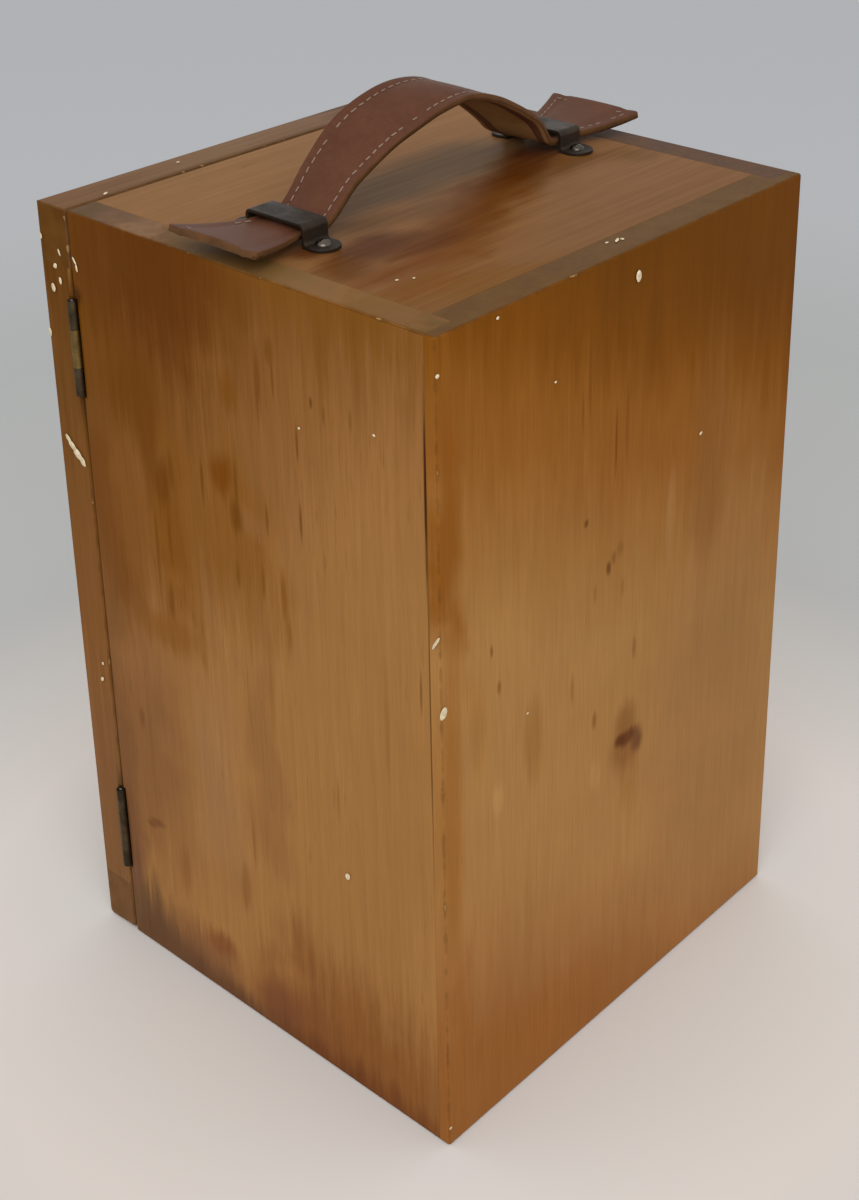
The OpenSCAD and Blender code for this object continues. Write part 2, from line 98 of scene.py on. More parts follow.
def add(mat, kind, inputs=None, stops=(), **settings):
    """Adds a node and links it. kind is its type without ShaderNode. An input is a value, or a node
    or socket that is linked to it. stops are the colours of a colour ramp, each a place from 0 to 1
    and a hex value or a grey."""
    node = mat.node_tree.nodes.new("ShaderNode" + kind)
    for name, value in settings.items():
        setattr(node, name, value)
    for name, value in (inputs or {}).items():
        if isinstance(value, bpy.types.Node):
            value = next(s for s in value.outputs if s.enabled)
        if isinstance(value, bpy.types.NodeSocket):
            mat.node_tree.links.new(value, node.inputs[name])
        else:
            node.inputs[name].default_value = value
    while stops and len(node.color_ramp.elements) < len(stops):
        node.color_ramp.elements.new(0.5)
    for k, (where, tint) in enumerate(stops):
        node.color_ramp.elements[k].position = where
        node.color_ramp.elements[k].color = colour(tint) if isinstance(tint, str) else (tint, tint, tint, 1)
    return node


def mottle(mat, place, size, detail=2, rough=0.5):
    """Noise whose patches are about a size in millimetres."""
    return add(mat, "TexNoise", {"Vector": place, "Scale": 1 / size, "Detail": detail, "Roughness": rough})


def spread(mat, value, low, high, to_low=0, to_high=1, way="LINEAR"):
    """A value between low and high, moved to lie between two others and held at its ends."""
    return add(mat, "MapRange", {"Value": value, "From Min": low, "From Max": high,
                                 "To Min": to_low, "To Max": to_high}, interpolation_type=way)


def mix(mat, share, first, second, way="MIX"):
    """Two colours mixed by a share."""
    return add(mat, "Mix", {0: share, 6: first, 7: second}, data_type="RGBA", blend_type=way)


def new_finish(name):
    """An empty material with its output node, and the object's place in millimetres."""
    mat = bpy.data.materials.new(name)
    mat.use_nodes = True
    mat.node_tree.nodes.clear()
    at = add(mat, "TexCoord")
    place = add(mat, "VectorMath", {0: at.outputs["Object"], 1: (1000, 1000, 1000)},
                operation="MULTIPLY")
    return mat, place, at.outputs["Normal"]


def finish_off(mat, surface):
    """Joins the surface to the material's output."""
    add(mat, "OutputMaterial", {"Surface": surface})
    print("material", mat.name, "with", len(mat.node_tree.nodes), "nodes")
    return mat

# %% [markdown]
# ## Varnished wood
# The boards are a pale close-grained wood under an orange-brown shellac varnish. Light and
# handling have changed it: where the varnish is thick it is deep and red, where it has worn it is
# pale, and the change runs in feathered streaks along the grain. The grain can't be a picture
# here, so it is built from noise that is stretched along the grain: wide streaks, growth lines 2 to
# 3 mm apart, fibres under 1 mm, and short dark flecks. Each board gets its own colours from one end
# to the other, and its own list of marks: stains and knots, and on some boards painted shade and
# reflections.

# %% Wood material
def varnished_wood(name, along, tones, run, box, marks=("Z", 0, ()),
                   end_tints=((0.35, "#6d4c33"), (0.65, "#86623f")), end_run=((0, 0, 0), 0, 1),
                   shine=0.42, gloss=0.04, seed=0, feather=0.3, flecks=0.5, bands=1.0, wear=0.45,
                   drawn_out=1.0):
    """Varnished wood with its grain along one axis.
    tones are the colours along the run, which is a vector and a start so that place . vector +
    start goes from 0 to 1. box is the outside of the joinery, whose arrises are worn. marks is the
    axis and height of the face that they lie on, and a list of marks: the middle along the face's
    other two axes, the two half sizes, all in millimetres, the colour and the strength. end_tints
    are the colours of the end grain, along end_run, a vector and a start to which the share of the
    pores is added. shine is the varnish's roughness and gloss its reflection, feather how far the
    streaks push the tones, and drawn_out how far they draw the marks out along the grain."""
    mat, place, normal = new_finish(name)
    # Two stretched places: long for fibres and growth bands, shorter for feathered stains
    offset = (seed * 37.3, seed * 53.7, seed * 11.9)
    long_grain, short_grain = [
        add(mat, "VectorMath", {0: place, 1: [squeeze if a == along else 1 for a in "XYZ"], 2: offset},
            operation="MULTIPLY_ADD") for squeeze in (0.03, 0.085)]
    streaks = mottle(mat, short_grain, 5, 4, 0.6)
    wisps = mottle(mat, short_grain, 1.5, 2, 0.5)
    fibre = mottle(mat, long_grain, 0.7, 2, 0.5)
    growth = mottle(mat, long_grain, 2.6, 3, 0.6)
    cloud = mottle(mat, place, 45, 3)
    # The tone: along the run, pushed to and fro by the streaks
    run_place = add(mat, "VectorMath", {0: place, 1: run[0]}, operation="DOT_PRODUCT")
    base = add(mat, "Math", {0: run_place.outputs["Value"], 1: run[1]}, operation="ADD")
    push = spread(mat, streaks, 0.28, 0.72, -feather, feather)
    tone = add(mat, "Math", {0: base, 1: push}, operation="ADD", use_clamp=True)
    last = add(mat, "ValToRGB", {0: tone}, stops=tones)
    # Stains, knots, zones of thicker varnish, and painted shade and reflections. Where one ends along the
    # grain, its edge is drawn
    # out by the streaks: as far as 25 mm for a wide zone, hardly for a small mark
    wander = add(mat, "Math", {0: wisps, 1: 0.4, 2: streaks}, operation="MULTIPLY_ADD")
    drawn = add(mat, "Math", {0: wander, 1: 80 * drawn_out, 2: -56 * drawn_out}, operation="MULTIPLY_ADD")
    draw = add(mat, "VectorMath", {0: [1 if a == along else 0 for a in "XYZ"], "Scale": drawn},
               operation="SCALE")
    bulge = add(mat, "VectorMath", {0: cloud.outputs["Color"], 1: (34, 34, 34), 2: (-17, -17, -17)},
                operation="MULTIPLY_ADD")
    drift = add(mat, "VectorMath", {0: draw, 1: bulge}, operation="ADD")
    face, height, spots_on_it = marks
    for u, v, half_u, half_v, mark_tint, strength in spots_on_it:
        centre, half = [u, v], [half_u, half_v]
        centre.insert("XYZ".index(face), height)
        half.insert("XYZ".index(face), 12)
        long_side = half["XYZ".index(along)]
        follow = min(1.0, long_side / 40)
        moved = add(mat, "VectorMath", {0: drift if min(half) >= 8 else draw, 1: [follow] * 3, 2: place},
                    operation="MULTIPLY_ADD")
        inside = add(mat, "VectorMath", {0: moved, 1: [1 / h for h in half],
                                         2: [-c / h for c, h in zip(centre, half)]},
                     operation="MULTIPLY_ADD")
        far = add(mat, "VectorMath", {0: inside}, operation="LENGTH")
        share = spread(mat, far.outputs["Value"], 0.3, 1.2, strength, 0, "SMOOTHSTEP")
        last = mix(mat, share, last, colour(mark_tint))
    # Fibres, growth bands and clouds are each a little lighter or darker than that
    for pattern, reach in ((fibre, 0.06), (growth, 0.07 * bands), (cloud, 0.05)):
        level = spread(mat, pattern, 0.3, 0.7, 1 - reach, 1 + reach)
        last = mix(mat, 1.0, last, level, "MULTIPLY")
    # Flecks about 1 mm wide and 10 to 30 mm long, in some places only
    fleck_at = spread(mat, wisps, 0.6, 0.74, 0, 1, "SMOOTHSTEP")
    zone = spread(mat, cloud, 0.45, 0.62, 0, flecks)
    fleck_share = add(mat, "Math", {0: fleck_at, 1: zone}, operation="MULTIPLY")
    last = mix(mat, fleck_share, last, colour("#5f3a12"))
    # End grain drinks more varnish, and is darker and greyer
    end_axis = [1 if axis == along else 0 for axis in "XYZ"]
    facing = add(mat, "VectorMath", {0: normal, 1: end_axis}, operation="DOT_PRODUCT")
    end = add(mat, "Math", {0: facing.outputs["Value"]}, operation="ABSOLUTE")
    end_share = spread(mat, end, 0.6, 0.9, 0, 0.95)
    pores = mottle(mat, place, 9, 4)
    end_place = add(mat, "VectorMath", {0: place, 1: end_run[0]}, operation="DOT_PRODUCT")
    end_start = add(mat, "Math", {0: end_place.outputs["Value"], 1: end_run[1]}, operation="ADD")
    end_at = add(mat, "Math", {0: pores, 1: end_run[2], 2: end_start}, operation="MULTIPLY_ADD")
    end_tone = add(mat, "ValToRGB", {0: end_at}, stops=end_tints)
    last = mix(mat, end_share, last, end_tone)
    # Worn arrises: the second smallest distance to the box's faces is the distance to an arris
    low, high = box
    middle = [(a + b) / 2 for a, b in zip(low, high)]
    half = [(b - a) / 2 for a, b in zip(low, high)]
    out = add(mat, "VectorMath", {0: place, 1: middle}, operation="SUBTRACT")
    away = add(mat, "VectorMath", {0: out}, operation="ABSOLUTE")
    depth = add(mat, "VectorMath", {0: half, 1: away}, operation="SUBTRACT")
    xyz = add(mat, "SeparateXYZ", {0: depth})
    less = add(mat, "Math", {0: xyz.outputs[0], 1: xyz.outputs[1]}, operation="MINIMUM")
    more = add(mat, "Math", {0: xyz.outputs[0], 1: xyz.outputs[1]}, operation="MAXIMUM")
    third = add(mat, "Math", {0: more, 1: xyz.outputs[2]}, operation="MINIMUM")
    to_arris = add(mat, "Math", {0: less, 1: third}, operation="MAXIMUM")
    # There the varnish has a thin dark line of dirt, and pale wood where it is chipped
    bite = mottle(mat, place, 8, 4, 0.6)
    for ragged, full, none, most, tint in ((-3, -1.5, -0.5, wear, "#4c2f17"),
                                           (-9, -5.7, -5.3, 0.75, "#a5804f")):
        rim = add(mat, "Math", {0: bite, 1: ragged, 2: to_arris}, operation="MULTIPLY_ADD")
        worn = spread(mat, rim, full, none, most, 0, "SMOOTHSTEP")
        last = mix(mat, worn, last, colour(tint))
    # Satin varnish over the wood, a little rougher between the fibres
    dull = spread(mat, growth, 0.3, 0.7, shine + 0.07, shine - 0.04)
    relief = add(mat, "Math", {0: growth, 1: 0.8, 2: fibre}, operation="MULTIPLY_ADD")
    bump = add(mat, "Bump", {"Height": relief, "Strength": 0.25, "Distance": 0.0001})
    skin = add(mat, "BsdfPrincipled",
               {"Base Color": last, "Roughness": dull, "Normal": bump, "Specular IOR Level": gloss})
    return finish_off(mat, skin)

# %% [markdown]
# ## The boards' colours
# The hinge side is the darkest board: deep orange at the top near the door, paler towards the
# back and from a third of the way down, with a purple-brown stain at its foot. The back is
# lighter and straighter in its grain. The top lies across, so its grain runs from side to side,
# and it has the most polish left. The strap's soft reflection in it is painted into its colours, and so
# is the shade round the hinges and under the strap's tab.

# %% Woods
CASE = ((-106.5, -84.5, 0), (106.5, 103.5, 340))
DOOR = ((-106.5, -103.5, 1), (106.5, -85.5, 340))
side_tones = [(0.0, "#9f703d"), (0.25, "#966738"), (0.5, "#895a2a"), (0.75, "#7a4b18"), (1.0, "#693c05")]
side_finish = varnished_wood(
    "shellacked_side_board", "Z", side_tones, ((0, -0.0034, 0.0044), -0.72), CASE,
    ("X", 106.5, [
        # wide zones of thick and of worn varnish
        (-78, 215, 22, 70, "#744515", 0.9), (-62, 222, 11, 52, "#855321", 0.8),
        (-36, 222, 24, 62, "#7f4c0f", 0.9),
        (2, 234, 32, 46, "#855319", 0.8), (10, 240, 14, 7, "#8e5e31", 0.7),
        (-62, 108, 34, 74, "#875a33", 0.9),
        (-84, 96, 13, 110, "#784f2c", 0.8), (-18, 106, 22, 56, "#9c7045", 0.9),
        (10, 138, 10, 70, "#916336", 0.7),
        (74, 210, 36, 80, "#a0713e", 0.6), (-44, 172, 26, 10, "#835016", 0.6),
        # the dark varnish at the top, its right edge, and its tails
        (-34, 336, 58, 70, "#633504", 0.97), (62, 350, 74, 36, "#7c4d15", 0.9),
        (-56, 272, 22, 24, "#6c3d05", 0.8),
        (-47, 258, 6, 34, "#70400b", 0.8), (18, 296, 2, 16, "#6b3904", 0.58),
        (25, 313, 2.9, 7, "#704307", 0.58),
        (26, 302, 0.7, 9, "#5d3303", 0.58), (2, 290, 6, 10, "#7a480b", 0.7),
        # dark flames and lines in the middle
        (-6, 255, 8, 11, "#764103", 0.9), (-16, 249, 1, 11, "#673703", 0.61),
        (3, 252, 1.1, 11, "#6a3d03", 0.61),
        (2, 240, 4, 8, "#704004", 0.85), (37, 282, 0.8, 9, "#613805", 0.65),
        (37, 251, 0.9, 9, "#5f3607", 0.65),
        (45, 299, 0.9, 2.8, "#502b05", 0.65), (51, 297, 1, 5, "#734818", 0.58),
        (64, 298, 1, 5, "#774b1b", 0.5),
        (19, 245, 1.1, 8, "#6d4007", 0.61), (-46, 204, 1.3, 22, "#6d3e04", 0.58),
        (-38, 216, 1.4, 12, "#6d3e04", 0.58),
        (-40, 189, 2.2, 10, "#6b3b03", 0.61), (1, 215, 1.3, 8, "#734507", 0.58),
        (15, 217, 1.3, 9, "#734507", 0.58),
        (26, 215, 2, 13, "#7c4905", 0.58), (28, 200, 1.4, 9, "#7c4c0b", 0.5),
        (-34, 247, 1.9, 10, "#703f05", 0.58),
        (-40, 239, 6, 13, "#6f3e04", 0.8), (16, 168, 2.2, 34, "#875927", 0.43),
        (3, 162, 1.5, 30, "#8a5c2c", 0.43),
        (77, 184, 1.5, 34, "#8a5b27", 0.43), (50, 135, 1, 12, "#7f5320", 0.5),
        (94, 202, 0.8, 12, "#5f3b12", 0.58),
        (0, 91, 1, 14, "#7d5120", 0.5), (15, 94, 9, 18, "#88582e", 0.35), (-66, 120, 2, 6, "#704322", 0.58),
        (-62, 70, 6, 2.4, "#6b3e20", 0.6), (-66, 67.5, 4, 1.8, "#6b3e20", 0.6),
        # the foot: a purple stain by the door, orange-brown further on
        (62, 2, 84, 66, "#7f4c20", 0.85), (20, 18, 30, 44, "#784725", 0.6),
        (24, 48, 10, 26, "#855225", 0.5),
        (10, 14, 16, 14, "#6f412a", 0.55), (-40, 14, 30, 20, "#794f30", 0.8),
        (-7, 66, 4, 14, "#825224", 0.5),
        (-45, 52, 4, 16, "#835227", 0.5), (-26, 26, 11, 8, "#7c4825", 0.75),
        (-76, 8, 28, 30, "#60432a", 0.85), (-82, 36, 9, 18, "#694335", 0.6),
        (-58, 4, 34, 16, "#60412a", 0.8), (-16, -4, 62, 15, "#603d27", 0.9),
        (-82, 52, 12, 34, "#784f33", 0.6),
        (56, -4, 64, 17, "#6b3c1b", 0.95),
        # painted shade round the hinges
        (-84, 284, 2.6, 26, "#361f05", 0.75), (-83, 306, 4, 5, "#3b1f04", 0.7),
        (-84, 57, 3, 25, "#3b2916", 0.7),
        # the crack in the joint with the back
        (98.1, 282, 0.9, 44, "#361904", 0.95), (98.3, 200, 0.5, 70, "#5a380f", 0.8)]),
    # colours of the side's end grain from the door to the back; the darker stretch in the middle, under the
    # strap's tab, is painted shade
    end_tints=((0.0, "#5c4529"), (0.06, "#654a34"), (0.13, "#705136"), (0.2, "#836143"), (0.25, "#6a4c2a"),
               (0.5, "#72552e"), (0.64, "#7b5b36"), (0.72, "#835d36"), (0.8, "#79552a"), (0.92, "#79542d"),
               (1.0, "#624a21")), end_run=((0, 0.0053, 0), 0.32, 0.25),
    feather=0.08, flecks=0.35, bands=0.7, seed=1, drawn_out=0.7)
latch_side_finish = varnished_wood(
    "shellacked_latch_side_board", "Z", side_tones, ((0, -0.0034, 0.0044), -0.72), CASE,
    end_tints=((0.35, "#553d31"), (0.65, "#5d422d")), feather=0.2, flecks=0.4, seed=2)
back_finish = varnished_wood(
    "shellacked_back_board", "Z",
    [(0.0, "#925c2a"), (0.1, "#9b6838"), (0.22, "#a57643"), (0.53, "#a77943"), (0.67, "#9c6932"),
     (0.75, "#905a22"), (0.82, "#8c561b"), (0.89, "#7d4809"), (1.0, "#6b3c04")],
    ((-0.0012, 0, 1 / 340), 0.0), CASE,
    ("Y", 103.5, [
        (-66, 120, 54, 130, "#9b6e3f", 0.8), (57, 162, 7, 22, "#966632", 0.7),
        (-50, 250, 16, 60, "#83521f", 0.5),
        (101, 262, 9, 70, "#8a5115", 0.9), (102, 150, 7, 90, "#976127", 0.8),
        (101, 40, 8, 60, "#905a27", 0.7),
        (50, 20, 60, 26, "#925a26", 0.7), (-3, 112, 9, 22, "#996835", 0.7),
        (88, 186, 6, 26, "#9d6c35", 0.6),
        (-1, 127, 11, 15, "#8a5a2c", 0.85), (-1, 141, 8, 11, "#885a2a", 0.8),
        (-2, 132, 8, 4.4, "#683b1b", 1.0),
        (-8, 127, 4.5, 6, "#6e4425", 0.9), (3, 133, 4.5, 3.4, "#613312", 0.95),
        (27, 240, 1.6, 2, "#6d3f12", 0.8),
        (13, 215.5, 1.8, 3.6, "#674015", 0.85), (10, 218.5, 1.8, 3.4, "#7f5120", 0.7),
        (6, 221, 2.6, 4, "#875825", 0.6),
        (21, 208, 1.2, 5, "#8c612b", 0.6), (4, 203, 1.2, 5, "#8c612b", 0.6),
        (80, 211, 1.0, 3, "#764716", 0.7),
        (76, 194, 1.4, 3.4, "#7f501d", 0.7), (34, 172, 1.5, 8, "#8e612a", 0.6),
        (20, 151, 1.8, 5, "#7f501d", 0.7),
        (10, 268, 0.8, 16, "#6c3d07", 0.75), (30, 286, 0.9, 10, "#754509", 0.6),
        (3.6, 273, 1.4, 20, "#774712", 0.6),
        (26, 299, 1.2, 22, "#76450f", 0.6), (-4.5, 172, 1.6, 6, "#83552a", 0.6),
        (-26, 222, 3, 26, "#a47747", 0.5), (-52, 225, 14, 50, "#8e5c2c", 0.4),
        (77, 146, 4, 8, "#b48750", 0.6),
        (19, 125, 4, 9, "#b28550", 0.6), (-34, 335, 80, 60, "#6b3d05", 0.5)]),
    end_tints=((0.35, "#604323"), (0.65, "#674a26")), feather=0.03, flecks=0.08, bands=0.35,
    seed=4, drawn_out=0.4)
top_finish = varnished_wood(
    "shellacked_top_board", "X",
    [(0.0, "#896138"), (0.3, "#875e35"), (0.6, "#835a34"), (1.0, "#79522e")],
    ((0, 0.005, 0), 0.5), CASE,
    ("Z", 340, [
        # painted reflections: a grey sheen under the strap, and beside it a dark band, the strap's reflection
        # and shade
        (-8, -8, 84, 26, "#664f36", 0.9), (-62, 5, 18, 9, "#3e1103", 0.8),
        (-46, 14, 30, 14, "#502504", 0.85),
        (-24, 22, 30, 14, "#552904", 0.85), (0, 32, 34, 15, "#603306", 0.85),
        (26, 42, 40, 15, "#643607", 0.85),
        (58, 56, 40, 15, "#6a3a07", 0.9), (76, 74, 32, 12, "#73440c", 0.85),
        # darker patches, most by the near loop; those round x 45, y 40 carry on the strap's painted
        # reflection
        (62, 31, 24, 12, "#4f280a", 0.9), (46, 41, 22, 11, "#593109", 0.75),
        (82, 38, 14, 13, "#5e3409", 0.8), (46, 15, 26, 9, "#5c3d17", 0.7),
        (78, 17, 12, 8, "#4a2208", 0.8),
        (44, 46, 26, 6, "#5d2f08", 0.6), (60, 86, 50, 8, "#764c1a", 0.7),
        (20, 20, 20, 9, "#614320", 0.5), (-62, 31, 34, 9, "#5e380d", 0.7),
        (-86, 40, 14, 10, "#67441c", 0.6)]),
    feather=0.1, shine=0.34, gloss=0.025, seed=7, flecks=0.35, bands=0.9, drawn_out=0.6)
door_finish = varnished_wood(
    "shellacked_door_board", "Z",
    [(0.0, "#7c5630"), (0.3, "#835731"), (0.45, "#835529"), (0.7, "#7a4e20"), (0.85, "#6d4416"),
     (1.0, "#623807")],
    ((0, 0, 1 / 340), 0.0), DOOR,
    ("X", 106.5, [
        # painted shade round the hinges, and the varnish worn off the arris beside the gap
        (-86, 284, 2.4, 25, "#361f05", 0.7), (-86, 57, 3, 25, "#3b2916", 0.7),
        (-86.4, 322, 0.9, 16, "#8e6631", 0.7)]),
    feather=0.08, seed=9, flecks=0.3)
cleat_tones = [(0.0, "#604230"), (0.2, "#624431"), (0.3, "#785940"), (0.6, "#7a5b3e"), (1.0, "#735031")]
top_cleat_finish = varnished_wood(
    "shellacked_door_top_cleat", "X", cleat_tones,
    ((0.0048, 0, 0), 0.5), DOOR,
    ("Z", 340, [(0, -86, 120, 3, "#5c3e1c", 0.8)]),
    end_tints=((0.35, "#5b3605"), (0.65, "#674112")), feather=0.12, seed=12, flecks=0.2, bands=0.5)
foot_cleat_finish = varnished_wood(
    "shellacked_door_foot_cleat", "X", cleat_tones,
    ((0.0048, 0, 0), 0.5), DOOR,
    end_tints=((0.35, "#6b4827"), (0.65, "#765130")), feather=0.2, seed=13, flecks=0.3)
fitting_finish = varnished_wood(
    "oiled_fitting_wood", "Y",
    [(0.0, "#8a6340"), (0.5, "#94704a"), (1.0, "#83592f")],
    ((0, 0.005, 0), 0.5), CASE, feather=0.2, seed=15, flecks=0.3, shine=0.5)

# %% [markdown]
# ## Softened copies of the boards
# Sawn and planed edges never stay sharp: the outer arrises of a case that is carried about round
# over by about a millimetre, and the joints between boards keep a fine line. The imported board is
# loose triangles, so a copy of it is merged first, and its flat faces are joined. Then the outer
# arrises get a wide bevel and the other edges a fine one. The copy rides and stands for the board.

# %% Softened copies
# How near to a face counts as on it, and the shortest edge that is broken, in metres
NEAR, SHORT = 0.00005, 0.004


def mode(name):
    """Changes to edit mode, EDIT, or back to object mode, OBJECT."""
    bpy.ops.object.mode_set(mode=name)


def start_clean():
    """Leaves edit mode and selects nothing."""
    if bpy.context.object and bpy.context.object.mode != "OBJECT":
        mode("OBJECT")
    bpy.ops.object.select_all(action="DESELECT")


def work_on(piece):
    """Makes a piece the active and only selected one."""
    start_clean()
    bpy.context.view_layer.objects.active = piece
    piece.select_set(True)


def new_object(name, data):
    """An object with its data, in the scene."""
    made = bpy.data.objects.new(name, data)
    bpy.context.scene.collection.objects.link(made)
    return made


def join_all(parts, name):
    """Joins copies to one piece whose own place is the origin."""
    start_clean()
    for part in parts:
        part.select_set(True)
    bpy.context.view_layer.objects.active = parts[0]
    bpy.ops.object.join()
    bpy.ops.object.transform_apply(location=True, rotation=True, scale=True)
    bpy.context.object.name = name
    return bpy.context.object


def pick(kind, test):
    """In edit mode, selects the vertices, edges or faces that pass a test."""
    bpy.ops.mesh.select_mode(type=kind)
    bpy.ops.mesh.select_all(action="DESELECT")
    mesh = bmesh.from_edit_mesh(bpy.context.object.data)
    found = 0
    for part in {"VERT": mesh.verts, "EDGE": mesh.edges, "FACE": mesh.faces}[kind]:
        if test(part):
            part.select_set(True)
            found += 1
    mesh.select_flush_mode()
    bmesh.update_edit_mesh(bpy.context.object.data)
    return found


def sharp(edge):
    """Whether two faces meet at this edge at more than 30 degrees, outwards."""
    return len(edge.link_faces) == 2 and edge.is_convex and edge.calc_face_angle() > math.radians(30)


def merged_copy(node, piece):
    """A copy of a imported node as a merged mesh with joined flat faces, in edit mode."""
    copy = new_object(piece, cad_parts[node].data.copy())
    work_on(copy)
    mode("EDIT")
    bpy.ops.mesh.select_all(action="SELECT")
    bpy.ops.mesh.remove_doubles(threshold=0.000002)
    bpy.ops.mesh.dissolve_limited(angle_limit=math.radians(0.3))
    return copy


def settle(piece, body, finish, stands_for=(), angle=35):
    """Shades a finished piece, gives it its material and its body."""
    if piece.mode != "OBJECT":
        mode("OBJECT")
    work_on(piece)
    bpy.ops.object.shade_smooth_by_angle(angle=math.radians(angle))
    # The shading of a bevel must not spread over the flat face beside it
    weigh = piece.modifiers.new("weighted", "WEIGHTED_NORMAL")
    weigh.keep_sharp = True
    bpy.ops.object.modifier_apply(modifier="weighted")
    if finish is not None:
        piece.data.materials.clear()
        piece.data.materials.append(finish)
    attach(piece, body)
    if stands_for:
        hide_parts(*stands_for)
    print(piece.name, "on", body, "with", len(piece.data.polygons), "faces")
    return piece


def soft_board(node, piece, body, finish, box, wide=1.3, fine=0.2):
    """A board with worn outer arrises and finely broken edges elsewhere."""
    copy = merged_copy(node, piece)
    low, high = [[v * MM for v in corner] for corner in box]

    def outer(edge):
        middle = (edge.verts[0].co + edge.verts[1].co) / 2
        faces = sum(min(abs(middle[i] - low[i]), abs(middle[i] - high[i])) < NEAR for i in range(3))
        return sharp(edge) and faces >= 2 and edge.calc_length() > SHORT

    if pick("EDGE", outer):
        bpy.ops.mesh.bevel(offset=wide * MM, segments=3, profile=0.6, clamp_overlap=False)
    if pick("EDGE", lambda e: sharp(e) and e.calc_length() > SHORT):
        bpy.ops.mesh.bevel(offset=fine * MM, segments=1, clamp_overlap=True)
    return settle(copy, body, finish, (node,))


BOARDS = [
    ("side_panel_hinge_side", "side_board_hinge_side", side_finish, "side_wood"),
    ("side_panel_latch_side", "side_board_latch_side", latch_side_finish, "side_wood"),
    ("back_panel", "back_board", back_finish, "back_wood"),
    ("top_panel", "top_board", top_finish, "top_wood"),
    ("floor_panel", "floor_board", fitting_finish, "floor_wood"),
    ("door_board", "door_middle_board", door_finish, "door_wood"),
    ("door_top_cleat", "door_cleat_top", top_cleat_finish, "door_cleat_wood"),
    ("door_bottom_cleat", "door_cleat_bottom", foot_cleat_finish, "door_cleat_wood"),
    ("foot_rail_hinge_side", "rail_hinge_side", fitting_finish, "fitting_wood"),
    ("foot_rail_latch_side", "rail_latch_side", fitting_finish, "fitting_wood"),
    ("foot_stop", "stop_behind_foot", fitting_finish, "fitting_wood"),
    ("door_block", "block_on_door", fitting_finish, "fitting_wood"),
    ("eyepiece_rack", "rack_board", fitting_finish, "fitting_wood"),
    ("rack_bracket_front", "rack_bearer_front", fitting_finish, "fitting_wood"),
    ("rack_bracket_rear", "rack_bearer_rear", fitting_finish, "fitting_wood"),
]
for node, piece, finish, slot in BOARDS:
    on_door = node.startswith("door")
    soft_board(node, piece, "door" if on_door else "case", finish, DOOR if on_door else CASE)

# %% [markdown]
# ## Metals
# The hinges are rolled from brass sheet and have gone brown, with the barrels rubbed bright. The
# loops are steel strip with a dark brown lacquer. The screws that hold them are polished steel.
# Old metal isn't even, so each gets slow noise between its clean and its tarnished colour, in the
# roughness too.

# %% Metal materials
def old_metal(name, clean, tarnished, share, rough, spot=7, metallic=1.0, seed=0):
    """Metal between two colours. share is how much is tarnished, from 0 to 1."""
    mat, place, _ = new_finish(name)
    shifted = add(mat, "VectorMath", {0: place, 1: (seed * 17, seed * 5, seed * 9)}, operation="ADD")
    patches = mottle(mat, shifted, spot, 4, 0.55)
    grit = mottle(mat, shifted, 0.5, 2)
    centre = 0.35 + 0.3 * (1 - share)
    mixed = add(mat, "ValToRGB", {0: patches}, stops=[(centre - 0.16, clean), (centre + 0.16, tarnished)])
    dull = spread(mat, patches, 0.35, 0.65, rough * 0.85, rough * 1.15)
    bump = add(mat, "Bump", {"Height": grit, "Strength": 0.06, "Distance": 0.00005})
    skin = add(mat, "BsdfPrincipled",
               {"Base Color": mixed, "Roughness": dull, "Normal": bump, "Metallic": metallic})
    return finish_off(mat, skin)


hinge_finish = old_metal("tarnished_hinge_brass", "#64543d", "#3f3628", 0.7, 0.5, seed=1)
knuckle_finish = old_metal("rubbed_hinge_brass", "#8f7442", "#6f5a34", 0.45, 0.42, seed=2)
pin_finish = old_metal("hinge_pin_steel", "#77706a", "#48413a", 0.5, 0.4, seed=3)
screw_finish = old_metal("screw_brass", "#a88a54", "#6d5733", 0.4, 0.35, seed=4)
hook_finish = old_metal("latch_hook_brass", "#a5874f", "#6a5431", 0.4, 0.35, seed=5)
loop_finish = old_metal("brown_lacquered_steel", "#392b1d", "#281e14", 0.6, 0.5, metallic=0.6, seed=6)
loop_screw_finish = old_metal("polished_screw_steel", "#6a635b", "#433d36", 0.5, 0.22, seed=7)

# %% Softened metal pieces
def soft_metal(node, piece, body, finish, slot, width=0.2, segments=2):
    """A metal part whose sheared edges are broken, so that they catch the light."""
    copy = merged_copy(node, piece)
    bpy.ops.mesh.remove_doubles(threshold=0.00003)
    # Strip that was folded over a former has no sharp inner corner where it turns into its foot
    if slot == "loop_metal":
        found = pick("EDGE", lambda e: len(e.link_faces) == 2 and not e.is_convex and e.calc_length() > 0.01
                     and e.calc_face_angle() > math.radians(60) and e.verts[0].co.z > 340.5 * MM)
        print("inner corners of the loop:", found)
        bpy.ops.mesh.bevel(offset=1.8 * MM, segments=4, clamp_overlap=False)
    if width and pick("EDGE", sharp):
        bpy.ops.mesh.bevel(offset=width * MM, segments=segments, clamp_overlap=False)
        bpy.ops.mesh.select_all(action="SELECT")
        bpy.ops.mesh.dissolve_degenerate(threshold=0.000005)
    return settle(copy, body, finish, (node,))


